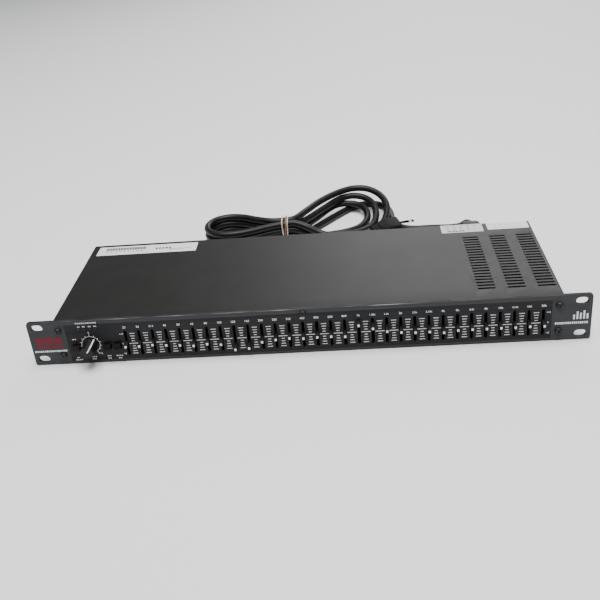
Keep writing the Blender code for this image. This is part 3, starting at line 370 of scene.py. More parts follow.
@dataclass(frozen=True)
class PanelPaint(Finish):
    """The front's paint: a black printed field, a top edge rubbed bare in long streaks, and
    painted shade on the rear of the top face for the shadow in the gap to the cover.
    """

    # The printed field's black, also used as painted shade on the rear of the top face.
    field_and_shade_color: Color = (0.005, 0.0052, 0.0062)
    field_half: float = 208.3 * MM
    field_low: float = 2.8 * MM
    field_high: float = 40.0 * MM
    edge_z: float = 43.55 * MM
    top_z: float = 43.99 * MM
    front_y: float = -74.25 * MM
    bare_color: Color = (0.3, 0.3, 0.29)

    def tint(self, tree: Tree, where: Socket, color: Socket | Color) -> Socket | Color:
        """Adds the field, the streaks and the painted shade on the rear of the top face."""
        x, y, z = tree.axes(where)
        across = tree.inside(x, -self.field_half, self.field_half, 0.1 * MM)
        upward = tree.inside(z, self.field_low, self.field_high, 0.1 * MM)
        face = tree.between(y, self.front_y, self.front_y + 0.05 * MM, 1.0, 0.0)
        field_mask = tree.math("MULTIPLY", tree.math("MULTIPLY", across, upward), face)
        color = tree.mix(field_mask, color, self.field_and_shade_color)
        place = tree.add("Mapping", {"Vector": where, "Scale": (22.0, 300.0, 300.0)})
        noise = tree.add("TexNoise", {"Vector": place.outputs[0], "Scale": 1.0, "Detail": 4.0})
        streak = tree.between(noise.outputs[0], 0.52, 0.66)
        edge = tree.between(z, self.edge_z, self.edge_z + 0.2 * MM)
        near_front = tree.between(y, self.front_y + 0.3 * MM, self.front_y + 0.6 * MM, 1.0, 0.0)
        mask = tree.math("MULTIPLY", tree.math("MULTIPLY", streak, edge), near_front)
        color = tree.mix(mask, color, self.bare_color)
        # Painted shade: the rear of the top face is darkened to black, standing for the shadow
        # line in the gap between the panel and the cover.
        top = tree.math("MULTIPLY", tree.between(z, self.top_z - 0.03 * MM, self.top_z),
                        tree.between(y, self.front_y + 0.4 * MM, self.front_y + 0.6 * MM))
        return tree.mix(top, color, self.field_and_shade_color)


@dataclass(frozen=True)
class LeverPlastic(Finish):
    """Black plastic with a white end."""

    tip_y: float = -80.15 * MM
    tip_color: Color = (0.86, 0.86, 0.85)

    def tint(self, tree: Tree, where: Socket, color: Socket | Color) -> Socket | Color:
        """Adds the white end."""
        y = tree.axes(where)[1]
        end = tree.between(y, self.tip_y - 0.05 * MM, self.tip_y + 0.05 * MM, 1.0, 0.0)
        return tree.mix(end, color, self.tip_color)


@dataclass(frozen=True)
class Zinc(Finish):
    """Zinc plating with its crystals."""

    crystal_color: Color = (0.75, 0.76, 0.78)

    def tint(self, tree: Tree, where: Socket, color: Socket | Color) -> Socket | Color:
        """Adds the crystals."""
        cells = tree.add("TexVoronoi", {"Vector": where, "Scale": 140.0})
        light = tree.between(tree.axes(cells.outputs["Color"])[0], 0.0, 1.0, 0.0, 0.35)
        return tree.mix(light, color, self.crystal_color)


@dataclass(frozen=True)
class BoardLacquer(Finish):
    """Green lacquer over copper tracks."""

    track_color: Color = (0.05, 0.22, 0.09)

    def tint(self, tree: Tree, where: Socket, color: Socket | Color) -> Socket | Color:
        """Adds the tracks."""
        tracks = tree.add("TexBrick", {"Vector": where, "Scale": 90.0, "Mortar Size": 0.06})
        share = tree.math("MULTIPLY", tracks.outputs["Fac"], 0.6)
        return tree.mix(share, color, self.track_color)


@dataclass(frozen=True)
class PotBoard(BoardLacquer):
    """A lacquered board whose front side carries black slide controls."""

    controls_back: float = -62.0 * MM
    controls_color: Color = (0.006, 0.006, 0.006)

    def tint(self, tree: Tree, where: Socket, color: Socket | Color) -> Socket | Color:
        """Makes all in front of the board black."""
        y = tree.axes(where)[1]
        front = tree.between(y, self.controls_back, self.controls_back + 0.02 * MM, 1.0, 0.0)
        return tree.mix(front, super().tint(tree, where, color), self.controls_color)


@dataclass(frozen=True)
class Laminations(Finish):
    """Varnished sheets of core steel."""

    varnish_color: Color = (0.05, 0.04, 0.03)

    def tint(self, tree: Tree, where: Socket, color: Socket | Color) -> Socket | Color:
        """Adds the sheets' edges."""
        sheets = tree.add("TexWave", {"Vector": where, "Scale": 300.0}, bands_direction="Y")
        share = tree.math("MULTIPLY", sheets.outputs["Fac"], 0.5)
        return tree.mix(share, color, self.varnish_color)


class Paint(Enum):
    """Every finish of the object."""

    PANEL = PanelPaint("panel_paint", (0.03, 0.032, 0.034), 0.58, depth=0.012 * MM,
                       patches=0.06, scratches=0.06, dust=0.06, wear=0.3, gloss=0.3)
    COVER = Finish("cover_paint", (0.0085, 0.008, 0.0073), 0.46, grain=1200.0,
                   depth=0.05 * MM, patches=0.03, scratches=0.012, dust=0.006, wear=0.25,
                   mottle=0.04, gloss=0.3)
    ZINC = Zinc("zinc", (0.55, 0.56, 0.58), 0.38, 0.9, dust=0.2)
    BLACK = Finish("black_plastic", (0.0045, 0.0045, 0.005), 0.42, dust=0.02,
                   worn_color=(0.03, 0.03, 0.03), gloss=0.28)
    LEVER = LeverPlastic("lever_plastic", (0.01, 0.01, 0.011), 0.45, dust=0.0,
                         worn_color=(0.06, 0.06, 0.06), gloss=0.3)
    BUTTON = Finish("button_plastic", (0.0065, 0.0034, 0.0035), 0.55, dust=0.02,
                    worn_color=(0.05, 0.02, 0.02), gloss=0.18)
    SWITCH = Finish("switch_plastic", (0.03, 0.03, 0.032), 0.55)
    SCREW = Finish("screw_black", (0.014, 0.014, 0.015), 0.38, 0.4, depth=0.01 * MM, wear=0.6,
                   worn_color=(0.3, 0.3, 0.3), gloss=0.4)
    STEEL = Finish("steel", (0.62, 0.62, 0.62), 0.25, 1.0, depth=0.005 * MM, dust=0.0)
    NICKEL = Finish("nickel", (0.8, 0.79, 0.76), 0.42, 0.7, depth=0.004 * MM, scratches=0.2,
                    worn_color=(0.85, 0.8, 0.6), dust=0.0)
    LAMP = Finish("lamp", (0.008, 0.003, 0.0028), 0.2, depth=0.002 * MM, wear=0.0, dust=0.0,
                  coat=0.25)
    BOARD = BoardLacquer("circuit_board", (0.02, 0.11, 0.05), 0.45)
    POTS = PotBoard("slider_board", (0.02, 0.11, 0.05), 0.6, gloss=0.2)
    CORE = Laminations("core_steel", (0.08, 0.072, 0.065), 0.5, 0.6)
    CORD = Finish("cord_rubber", (0.005, 0.005, 0.0055), 0.42, grain=1800.0, depth=0.03 * MM,
                  patches=0.12, wear=0.0, dust=0.015, gloss=0.28)
    DULL_BLACK = Finish("dull_black", (0.004, 0.004, 0.0045), 0.6, grain=1800.0,
                        depth=0.03 * MM, wear=0.0, dust=0.015, gloss=0.12)
    WHITE = Finish("print_white", (0.8, 0.8, 0.79), 0.5, depth=0.005 * MM, wear=0.0, dust=0.0)
    SOFT_WHITE = Finish("print_soft_white", (0.68, 0.68, 0.68), 0.5, depth=0.005 * MM,
                        wear=0.0, dust=0.0)
    RED = Finish("print_red", (0.14, 0.003, 0.012), 0.55, depth=0.005 * MM, wear=0.0, dust=0.0,
                 gloss=0.3)
    PAPER = Finish("paper_label", (0.72, 0.72, 0.715), 0.6, grain=3500.0, depth=0.02 * MM,
                   wear=0.0, dust=0.08)
    # A darker copy of the label paper: painted shade that holds back the stronger window light on
    # the middle label.
    SHADED_PAPER = Finish("shaded_paper_label", (0.56, 0.56, 0.555), 0.65, grain=3500.0,
                        depth=0.02 * MM, wear=0.0, dust=0.08)
    INK = Finish("label_ink", (0.06, 0.06, 0.065), 0.6, wear=0.0, dust=0.0)
    BAND_PALE = Finish("band_pale", (0.72, 0.62, 0.56), 0.6, grain=3500.0, wear=0.0, dust=0.1)
    BAND_BROWN = Finish("band_brown", (0.32, 0.13, 0.06), 0.6, grain=3500.0, wear=0.0, dust=0.1)


MADE: dict[str, bpy.types.Material] = {}


def finish_of(paint: Paint, effects: Effects) -> bpy.types.Material:
    """Returns the material of a finish, made on its first use."""
    if paint.value.name not in MADE:
        MADE[paint.value.name] = paint.value.make(effects)
    return MADE[paint.value.name]


def dress(item: bpy.types.Object, paint: Paint, effects: Effects) -> bpy.types.Object:
    """Gives a whole piece one finish."""
    item.data.materials.clear()
    item.data.materials.append(finish_of(paint, effects))
    return item


# Shapes


def in_scene(name: str, data: bpy.types.ID) -> bpy.types.Object:
    """Returns a new object in the scene."""
    item = bpy.data.objects.new(name, data)
    bpy.context.scene.collection.objects.link(item)
    return item


def as_mesh(item: bpy.types.Object) -> bpy.types.Mesh:
    """Returns an object's evaluated shape as a mesh."""
    bpy.context.view_layer.update()
    graph = bpy.context.evaluated_depsgraph_get()
    return bpy.data.meshes.new_from_object(item.evaluated_get(graph))


def round_edges(bm: bmesh.types.BMesh, edges: list[bmesh.types.BMEdge], radius: float,
                segments: int) -> None:
    """Rounds some edges of a bmesh.

    Args:
        bm: The shape.
        edges: The edges to round.
        radius: How far the rounding reaches on each side.
        segments: The steps in it.
    """
    bmesh.ops.bevel(bm, geom=edges, offset=radius, segments=segments, profile=0.5,
                    affect="EDGES", clamp_overlap=True, material=-1)


def sharp_edges(bm: bmesh.types.BMesh, degrees: float) -> list[bmesh.types.BMEdge]:
    """Returns the edges whose two faces meet at more than an angle."""
    return [edge for edge in bm.edges if len(edge.link_faces) == 2
            and edge.calc_face_angle() > math.radians(degrees)]


def bare_curve(name: str, points: list[Vector], radius: float, steps: int,
               closed: bool = False) -> bpy.types.Curve:
    """Makes a round tube along straight steps.

    Args:
        name: The name of the data.
        points: Its centreline.
        radius: Its radius.
        steps: The resolution of its section.
        closed: Whether it is a ring; a tube that isn't has its ends capped.

    Returns:
        The tube as a curve.
    """
    data = bpy.data.curves.new(name, "CURVE")
    data.dimensions = "3D"
    data.bevel_depth = radius
    data.bevel_resolution = steps
    data.use_fill_caps = not closed
    spline = data.splines.new("POLY")
    spline.points.add(len(points) - 1)
    for item, point in zip(spline.points, points):
        item.co = (*point, 1.0)
    spline.use_cyclic_u = closed
    return data


@dataclass
class Workshop:
    """Puts finished pieces in the scene, each with its finish and body."""

    effects: Effects

    def add(self, name: str, data: bpy.types.ID, body: str, paint: Paint, slot: str,
            *replaced: str) -> bpy.types.Object:
        """Adds a piece.

        Args:
            name: The piece's name.
            data: Its mesh or curve, already in place.
            body: The body that it rides on.
            paint: Its finish.
            slot: The record's material slot; not used.
            replaced: The nodes that it stands for.

        Returns:
            The new object.
        """
        item = in_scene(name, data)
        dress(item, paint, self.effects)
        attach(item, body)
        if replaced:
            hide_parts(*replaced)
        log.info("%s on %s", name, body)
        return item

    def mesh(self, name: str, bm: bmesh.types.BMesh, smooth: float = 35.0,
             boxy: bool = False) -> bpy.types.Mesh:
        """Turns a bmesh into a mesh.

        Args:
            name: The mesh's name.
            bm: The shape, which is freed.
            smooth: The angle in degrees past which an edge is sharp.
            boxy: Whether the faces that look along an axis are shaded flat.

        Returns:
            The mesh.
        """
        bm.normal_update()
        for face in bm.faces:
            face.smooth = not (boxy and max(map(abs, face.normal)) > 0.9999)
        data = bpy.data.meshes.new(name)
        bm.to_mesh(data)
        bm.free()
        data.set_sharp_from_angle(angle=math.radians(smooth))
        return data

    def add_mesh(self, name: str, bm: bmesh.types.BMesh, body: str, paint: Paint, slot: str,
                 *replaced: str, smooth: float = 35.0) -> None:
        """Adds a bmesh as a piece; the arguments are those of mesh and of add."""
        self.add(name, self.mesh(name, bm, smooth), body, paint, slot, *replaced)

    def copy_of(self, node: str, edge: float, folds: Callable | None = None,
                fold_radius: float = 0.0, splits: tuple[float, ...] = ()) -> bpy.types.Mesh:
        """Copies a node's mesh with its edges rounded.

        Args:
            node: The node's name.
            edge: The radius of every sharp edge.
            folds: Says of an edge whether it is a fold, which gets its own radius first.
            fold_radius: The radius of the folds.
            splits: Where along X the long faces are divided, which keeps them flat.

        Returns:
            The rounded mesh.
        """
        bm = bmesh.new()
        bm.from_mesh(frame["nodes"][node].data)
        for vert in bm.verts:
            vert.co = [round(c, 5) for c in vert.co]
        bmesh.ops.remove_doubles(bm, verts=bm.verts, dist=0.002 * MM)
        bmesh.ops.dissolve_limit(bm, angle_limit=math.radians(1.0), verts=bm.verts, edges=bm.edges)
        if folds is not None:
            round_edges(bm, [e for e in bm.edges if folds(e)], fold_radius, 6)
        round_edges(bm, sharp_edges(bm, 50.0), edge, 2)
        for x in splits:
            geom = bm.verts[:] + bm.edges[:] + bm.faces[:]
            bmesh.ops.bisect_plane(bm, geom=geom, plane_co=(x, 0, 0), plane_no=(1, 0, 0))
        bmesh.ops.recalc_face_normals(bm, faces=bm.faces)
        return self.mesh(node + "_rounded", bm, boxy=True)


def add_bar(bm: bmesh.types.BMesh, centre: Point, size: Point, turn: Matrix | None = None) -> None:
    """Adds a bar to a bmesh.

    Args:
        bm: Where it goes.
        centre: Its middle.
        size: Its length along each axis.
        turn: How it is turned about its own middle.
    """
    place = Matrix.Translation(centre) @ (turn or Matrix()) @ Matrix.Diagonal((*size, 1.0))
    bmesh.ops.create_cube(bm, size=1.0, matrix=place)


def turned(profile: list[tuple[float, float]], steps: int, place: Matrix) -> bmesh.types.BMesh:
    """Turns a profile about Z and puts it in place.

    Args:
        profile: Points (radius, height) along the outside.
        steps: The steps in a full turn.
        place: Where the turned shape goes.

    Returns:
        The closed shape.
    """
    bm = bmesh.new()
    verts = [bm.verts.new((radius, 0.0, height)) for radius, height in profile]
    edges = [bm.edges.new(pair) for pair in zip(verts, verts[1:])]
    bmesh.ops.spin(bm, geom=verts + edges, cent=(0, 0, 0), axis=(0, 0, 1), steps=steps,
                   angle=math.tau, use_merge=True, use_duplicate=False)
    bmesh.ops.remove_doubles(bm, verts=bm.verts, dist=0.001 * MM)
    bmesh.ops.recalc_face_normals(bm, faces=bm.faces)
    bmesh.ops.transform(bm, matrix=place, verts=bm.verts)
    return bm


def facing_front(x: float, y: float, z: float) -> Matrix:
    """Returns the place of a turned shape whose own Z points out of the front."""
    return Matrix.Translation((x, y, z)) @ Matrix.Rotation(math.radians(90), 4, "X")


def facing_back(x: float, y: float, z: float) -> Matrix:
    """Returns the place of a turned shape whose own Z points out of the rear."""
    return Matrix.Translation((x, y, z)) @ Matrix.Rotation(math.radians(-90), 4, "X")


def add_copy(bm: bmesh.types.BMesh, part: bmesh.types.BMesh) -> None:
    """Adds a bmesh to another and frees it."""
    spare = bpy.data.meshes.new("part")
    part.to_mesh(spare)
    part.free()
    bm.from_mesh(spare)
    bpy.data.meshes.remove(spare)


def holed_plate(bm: bmesh.types.BMesh, hole: float, steps: int, half_x: float,
                half_y: float) -> tuple[list[bmesh.types.BMVert], list[bmesh.types.BMFace]]:
    """Adds a flat rectangle with a round hole in its middle.

    Args:
        bm: Where it goes.
        hole: The hole's radius.
        steps: The points round the hole, and as many round the outline.
        half_x: Half of its size along X.
        half_y: Half of its size along Y.

    Returns:
        The vertices of its outline, and its faces.
    """
    ring = bmesh.ops.create_circle(bm, cap_ends=False, segments=steps, radius=hole)["verts"]
    outline = [bm.verts.new(v.co / max(abs(v.co.x) / half_x, abs(v.co.y) / half_y)) for v in ring]
    pairs = list(zip(ring, outline))
    faces = [bm.faces.new((inner, next_inner, next_outer, outer))
             for (inner, outer), (next_inner, next_outer) in zip(pairs, pairs[1:] + pairs[:1])]
    return outline, faces


def ribbed_sleeve(name: str, line: list[Vector], start: float, end: float,
                  rib: float) -> bpy.types.Curve:
    """Makes a tapered strain relief with ring-shaped ribs along a line.

    Args:
        name: The name of the data.
        line: Its centreline, from the thick end, with points about half a rib apart.
        start: The radius at the thick end.
        end: The radius at the thin end.
        rib: How far the ribs stand out.

    Returns:
        The sleeve as a curve.
    """
    data = bare_curve(name, line, 1.0, 6)
    last = len(line) - 1
    for number, item in enumerate(data.splines[0].points):
        item.radius = start + (end - start) * number / last - rib * (number // 2 % 2)
    return data


# Printing


@dataclass
class Printing:
    """What is printed on the front: scales, numbers and plain marks in place of words."""

    shop: Workshop
    face_y: float = -74.3 * MM
    thickness: float = 0.06 * MM
    first_x: float = -155.65 * MM
    pitch: float = 11.9 * MM
    zero_z: float = 18.3 * MM
    tick_step: float = 2.55 * MM
    tick_height: float = 0.62 * MM
    tick_lengths: tuple[float, ...] = (7.8, 2.7, 3.2, 3.8, 4.6)
    number_z: float = 34.9 * MM
    number_size: float = 2.8 * MM
    numbers: tuple[str, ...] = (
        "20", "25", "31.5", "40", "50", "63", "80", "100", "125", "160", "200", "250", "315",
        "400", "500", "630", "800", "1k", "1.25k", "1.6k", "2k", "2.5k", "3.15k", "4k", "5k",
        "6.3k", "8k", "10k", "12.5k", "16k", "20k",
    )
    end_scale_xs: tuple[float, float] = (-159.3, 205.4)
    end_scale_zs: tuple[float, float, float] = (28.3, 18.3, 8.1)
    end_scale_size: float = 2.2 * MM
    gain_x: float = -187.8 * MM
    gain_z: float = 19.3 * MM
    gain_numbers: tuple[tuple[str, float, float, float], ...] = (
        ("0", -187.8, 31.4, 2.1), ("+12", -181.0, 9.6, 2.3), ("-12", -195.0, 9.6, 2.3),
    )
    arc_radius: float = 8.05 * MM
    arc_width: float = 0.4 * MM
    arc_end: float = 148.0
    long_tick: float = 2.6 * MM
    short_tick: float = 1.5 * MM
    labels: tuple[Point, ...] = (
        (-197.8, -178.9, 41.3), (-196.6, -194.2, 37.7), (-192.2, -189.4, 37.7),
        (-187.0, -184.2, 37.7), (-182.2, -179.4, 37.7), (-203.6, -199.8, 25.2),
        (-203.0, -200.4, 6.2), (-204.5, -198.0, 3.9), (-175.5, -171.8, 6.6),
        (-175.2, -172.0, 4.1), (-167.5, -161.5, 6.4), (-166.0, -162.4, 3.9),
        (-190.4, -184.6, 6.4), (-189.6, -185.4, 4.1),
    )
    word_pitch: float = 1.7
    red_block: tuple[float, float] = (6.8, 7.4)
    red_pitch: float = 8.2
    red_first: tuple[float, float] = (-232.6, 24.6)
    red_line: tuple[float, float, float, float] = (-224.4, 18.2, 23.2, 2.0)
    mark_heights: tuple[float, ...] = (4.5, 7.5, 6.0, 8.2, 5.2)
    mark_first: tuple[float, float] = (226.6, 20.2)
    mark_pitch: float = 2.75
    mark_width: float = 1.5
    left_words: tuple[float, ...] = (-239.4, -210.0, 14.2, 1.7)
    right_words: tuple[float, ...] = (211.0, 238.5, 16.8, 2.1)

    def bar(self, bm: bmesh.types.BMesh, x: float, z: float, width: float, height: float,
            turn: float = 0.0) -> None:
        """Adds a printed bar, sizes in metres, turned clockwise in degrees."""
        spin = Matrix.Rotation(math.radians(turn), 4, "Y")
        size = (width, self.thickness, height)
        add_bar(bm, (x, self.face_y - self.thickness / 2, z), size, spin)

    def words(self, bm: bmesh.types.BMesh, low_x: float, high_x: float, z: float,
              height: float = 1.1) -> None:
        """Adds a row of short bars where a word would stand, in millimetres."""
        count = max(2, round((high_x - low_x) / self.word_pitch))
        step = (high_x - low_x) / count
        for number in range(count):
            width = step * (0.62 if number % 3 else 0.78)
            self.bar(bm, (low_x + step * (number + 0.5)) * MM, z * MM, width * MM, height * MM)

    def number(self, text: str, x: float, z: float, size: float) -> bpy.types.Mesh:
        """Returns a number as a mesh on the front, centred on a place."""
        data = bpy.data.curves.new("number", "FONT")
        data.body = text
        data.size = size
        data.align_x = "CENTER"
        data.align_y = "CENTER"
        data.extrude = self.thickness / 2
        data.offset = 0.012 * size
        data.resolution_u = 2
        item = in_scene("number", data)
        mesh = as_mesh(item)
        bpy.data.objects.remove(item, do_unlink=True)
        mesh.transform(facing_front(x, self.face_y - self.thickness / 2, z))
        return mesh

    def build_numbers(self) -> None:
        """Makes the band numbers and those of the scales."""
        bm = bmesh.new()
        rows = [(text, self.first_x + self.pitch * i, self.number_z,
                 self.number_size * (1.0 if len(text) < 4 else 0.86))
                for i, text in enumerate(self.numbers)]
        for x in self.end_scale_xs:
            for text, z in zip(("+12", "0", "-12"), self.end_scale_zs):
                rows.append((text, x * MM, z * MM, self.end_scale_size))
        rows += [(text, x * MM, z * MM, size * MM) for text, x, z, size in self.gain_numbers]
        for text, x, z, size in rows:
            mesh = self.number(text, x, z, size)
            bm.from_mesh(mesh)
            bpy.data.meshes.remove(mesh)
        self.shop.add_mesh("scale_numbers", bm, "chassis", Paint.WHITE, "print_white")

    def build_ticks(self) -> None:
        """Makes the ladder of ticks between each two sliders."""
        bm = bmesh.new()
        for gap in range(len(self.numbers) - 1):
            x = self.first_x + self.pitch * (gap + 0.5)
            for step in range(-4, 5):
                length = self.tick_lengths[abs(step)] * MM
                self.bar(bm, x, self.zero_z + self.tick_step * step, length, self.tick_height)
        self.shop.add_mesh("slider_ticks", bm, "chassis", Paint.SOFT_WHITE, "print_white")

    def build_gain_scale(self) -> None:
        """Makes the arc round the knob and its ticks."""
        bm = bmesh.new()
        low, high = (self.arc_radius + side * self.arc_width / 2 for side in (-1, 1))
        depth = self.thickness
        corners = [bm.verts.new((0.0, y, radius)) for y, radius in
                   ((0.0, low), (0.0, high), (-depth, high), (-depth, low))]
        section = bm.faces.new(corners)
        bmesh.ops.rotate(bm, verts=corners, cent=(0, 0, 0),
                         matrix=Matrix.Rotation(-math.radians(self.arc_end), 3, "Y"))
        bmesh.ops.spin(bm, geom=[section, *section.edges, *corners], cent=(0, 0, 0),
                       axis=(0, 1, 0), steps=72, angle=math.radians(2 * self.arc_end),
                       use_merge=False, use_duplicate=False)
        bmesh.ops.recalc_face_normals(bm, faces=bm.faces)
        bmesh.ops.translate(bm, verts=bm.verts, vec=(self.gain_x, self.face_y, self.gain_z))
        for number in range(-6, 7):
            angle = self.arc_end * number / 6
            length = self.long_tick if number in (-6, 0, 6) else self.short_tick
            radius = self.arc_radius + length / 2
            x = self.gain_x + radius * math.sin(math.radians(angle))
            z = self.gain_z + radius * math.cos(math.radians(angle))
            self.bar(bm, x, z, self.arc_width, length, angle)
        self.shop.add_mesh("gain_scale", bm, "chassis", Paint.WHITE, "print_white")

    def build_labels(self) -> None:
        """Makes the rows of short bars that stand where the words are."""
        bm = bmesh.new()
        for low_x, high_x, z in self.labels:
            self.words(bm, low_x, high_x, z)
        self.shop.add_mesh("control_labels", bm, "chassis", Paint.SOFT_WHITE, "print_white")

    def build_ear_marks(self) -> None:
        """Makes a plain red mark with a line under it, and a small picture of sliders."""
        bm = bmesh.new()
        first_x, block_z = self.red_first
        blocks = [(first_x + self.red_pitch * i, block_z, *self.red_block) for i in range(3)]
        for block in (*blocks, self.red_line):
            self.bar(bm, *(v * MM for v in block))
        self.shop.add_mesh("ear_mark_red", bm, "chassis", Paint.RED, "print_red")
        bm = bmesh.new()
        self.words(bm, *self.left_words)
        for number, height in enumerate(self.mark_heights):
            x, z = self.mark_first[0] + self.mark_pitch * number, self.mark_first[1] + height / 2
            self.bar(bm, x * MM, z * MM, self.mark_width * MM, height * MM)
        self.words(bm, *self.right_words)
        self.shop.add_mesh("ear_marks_white", bm, "chassis", Paint.WHITE, "print_white")

    def build(self) -> None:
        """Makes all the printing."""
        self.build_ticks()
        self.build_numbers()
        self.build_gain_scale()
        self.build_labels()
        self.build_ear_marks()


# Case


@dataclass
class Case:
    """The sheet metal: front, cover and rear wall, with its screws."""

    shop: Workshop
    cover_top: float = 42.85 * MM
    case_half: float = 218.65 * MM
    cover_splits: tuple[float, ...] = tuple(x * MM for x in (-100.0, 0.0, 100.0, 145.0,
                                                             170.2, 195.5))
    edge: float = 0.15 * MM
    front_edge: float = 0.22 * MM
    fold: float = 1.0 * MM
    screw_y: float = -74.6 * MM
    head_height: float = 2.0 * MM
    end_head: float = 3.0 * MM
    middle_head: float = 2.5 * MM
    recess_turn: float = 20.0
    end_screws: tuple[tuple[float, float], ...] = ((-214.3, 34.5), (-214.3, 9.5), (214.3, 34.5),
                                                   (214.3, 9.5))
    middle_z: float = 40.0 * MM

    def is_cover_fold(self, edge: bmesh.types.BMEdge) -> bool:
        """Says whether an edge of the cover is one of its two long outer folds."""
        return all(abs(abs(v.co.x) - self.case_half) < 0.01 * MM
                   and abs(v.co.z - self.cover_top) < 0.01 * MM for v in edge.verts)

    def build_sheets(self) -> None:
        """Rounds the edges of the sheets and paints them."""
        front = self.shop.copy_of("front_panel", self.front_edge)
        self.shop.add("front_sheet", front, "chassis", Paint.PANEL, "panel_paint", "front_panel")
        cover = self.shop.copy_of("top_cover", self.edge, self.is_cover_fold, self.fold,
                                  self.cover_splits)
        self.shop.add("cover_sheet", cover, "chassis", Paint.COVER, "cover_paint", "top_cover")
        rear = self.shop.copy_of("rear_panel", self.edge)
        self.shop.add("rear_sheet", rear, "chassis", Paint.COVER, "cover_paint", "rear_panel")

    def screw_head(self, name: str, radius: float, x: float, z: float, node: str) -> None:
        """Makes a screw on the front, with a pan head and a cross recess."""
        height = self.head_height
        profile = [(0.0, height), (radius * 0.35, height * 0.985), (radius * 0.6, height * 0.93),
                   (radius * 0.8, height * 0.8), (radius * 0.93, height * 0.58),
                   (radius, height * 0.25), (radius, 0.0), (radius * 0.5, 0.0),
                   (radius * 0.5, -6.5 * MM), (0.0, -6.8 * MM)]
        bm = turned(profile, 48, facing_front(x, self.screw_y, z))
        head = in_scene(name, self.shop.mesh(name, bm))
        cutter = bmesh.new()
        for turn in (0.0, 90.0):
            spin = Matrix.Rotation(math.radians(turn + self.recess_turn), 4, "Y")
            size = (radius * 1.15, height * 1.5, radius * 0.26)
            add_bar(cutter, (x, self.screw_y - height, z), size, spin)
        tool = in_scene("cutter", self.shop.mesh("cutter", cutter))
        step = head.modifiers.new("Recess", "BOOLEAN")
        step.object, step.solver, step.operation = tool, "EXACT", "DIFFERENCE"
        step.use_self = True
        data = as_mesh(head)
        for spare in (head, tool):
            bpy.data.objects.remove(spare, do_unlink=True)
        data.shade_smooth()
        data.set_sharp_from_angle(angle=math.radians(35))
        self.shop.add(name, data, "chassis", Paint.SCREW, "screw_black", node)

    def build_screws(self) -> None:
        """Makes the four screws at the ends and the one at the top middle."""
        for number, (x, z) in enumerate(self.end_screws, 1):
            self.screw_head(f"end_screw_{number}", self.end_head, x * MM, z * MM,
                            f"panel_screw_{number}")
        self.screw_head("middle_screw", self.middle_head, 0.0, self.middle_z, "cover_screw")

    def build(self) -> None:
        """Makes the case."""
        self.build_sheets()
        self.build_screws()


@dataclass
class Stickers:
    """Three paper labels on the cover, with plain bars for print.

    In millimetres, code is a row of upright bars: its first bar's place, the pitch and how many.
    Each of rows is the same, with the bars' width and depth.
    """

    shop: Workshop
    cover_top: float = 42.85 * MM
    paper: float = 0.1 * MM
    ink: float = 0.03 * MM
    corner: float = 1.0 * MM
    sheets: tuple[tuple[str, tuple[float, float], tuple[float, float], Paint], ...] = (
        ("label_left", (-211.8, 51.0), (-110.9, 69.2), Paint.PAPER),
        # The middle label gets the darker paper, painted shade against the stronger light on that
        # side.
        ("label_middle", (132.1, 56.3), (172.5, 73.6), Paint.SHADED_PAPER),
        ("label_right", (176.7, 58.8), (216.4, 73.6), Paint.PAPER),
    )
    code: tuple[float, float, float, int] = (-204.0, 63.4, 0.95, 44)
    code_height: float = 5.6
    rows: tuple[tuple[float, float, float, int, float, float], ...] = (
        (-202.0, 57.6, 4.4, 9, 2.6, 1.3), (-152.0, 60.6, 3.4, 5, 2.2, 3.4),
        (-127.5, 58.4, 0.0, 1, 22.0, 0.7), (-131.0, 56.2, 0.0, 1, 15.0, 0.7),
        (138.5, 70.4, 6.6, 5, 3.9, 0.8), (138.5, 67.1, 6.6, 4, 3.1, 0.8),
        (138.5, 63.8, 6.6, 5, 2.3, 0.8), (138.5, 60.5, 6.6, 4, 3.9, 0.8),
        (140.0, 59.0, 3.3, 5, 2.3, 2.0), (184.0, 68.4, 6.0, 5, 4.4, 0.5),
        (196.5, 63.0, 0.0, 1, 27.0, 0.5),
    )

    def sheet(self, name: str, low: tuple[float, float], high: tuple[float, float],
              paint: Paint) -> None:
        """Makes a label with round corners between two corners in millimetres."""
        bm = bmesh.new()
        centre = ((low[0] + high[0]) / 2 * MM, (low[1] + high[1]) / 2 * MM,
                  self.cover_top + self.paper / 2)
        size = ((high[0] - low[0]) * MM, (high[1] - low[1]) * MM, self.paper)
        add_bar(bm, centre, size)
        corners = [e for e in bm.edges if abs(e.verts[0].co.z - e.verts[1].co.z) > self.paper / 2]
        round_edges(bm, corners, self.corner, 4)
        self.shop.add_mesh(name, bm, "chassis", paint, "paper_label")

    def mark(self, bm: bmesh.types.BMesh, x: float, y: float, width: float, depth: float) -> None:
        """Adds a printed bar to a label, in millimetres."""
        z = self.cover_top + self.paper + self.ink / 2
        add_bar(bm, (x * MM, y * MM, z), (width * MM, depth * MM, self.ink))

    def build(self) -> None:
        """Makes the labels and their print."""
        for row in self.sheets:
            self.sheet(*row)
        bm = bmesh.new()
        first_x, y, pitch, count = self.code
        for number in range(count):
            self.mark(bm, first_x + pitch * number, y, 0.35 + 0.35 * (number % 3),
                      self.code_height)
        for first_x, y, pitch, count, width, depth in self.rows:
            for number in range(count):
                self.mark(bm, first_x + pitch * number, y, width, depth)
        self.shop.add_mesh("label_print", bm, "chassis", Paint.INK, "paper_label")


# Controls


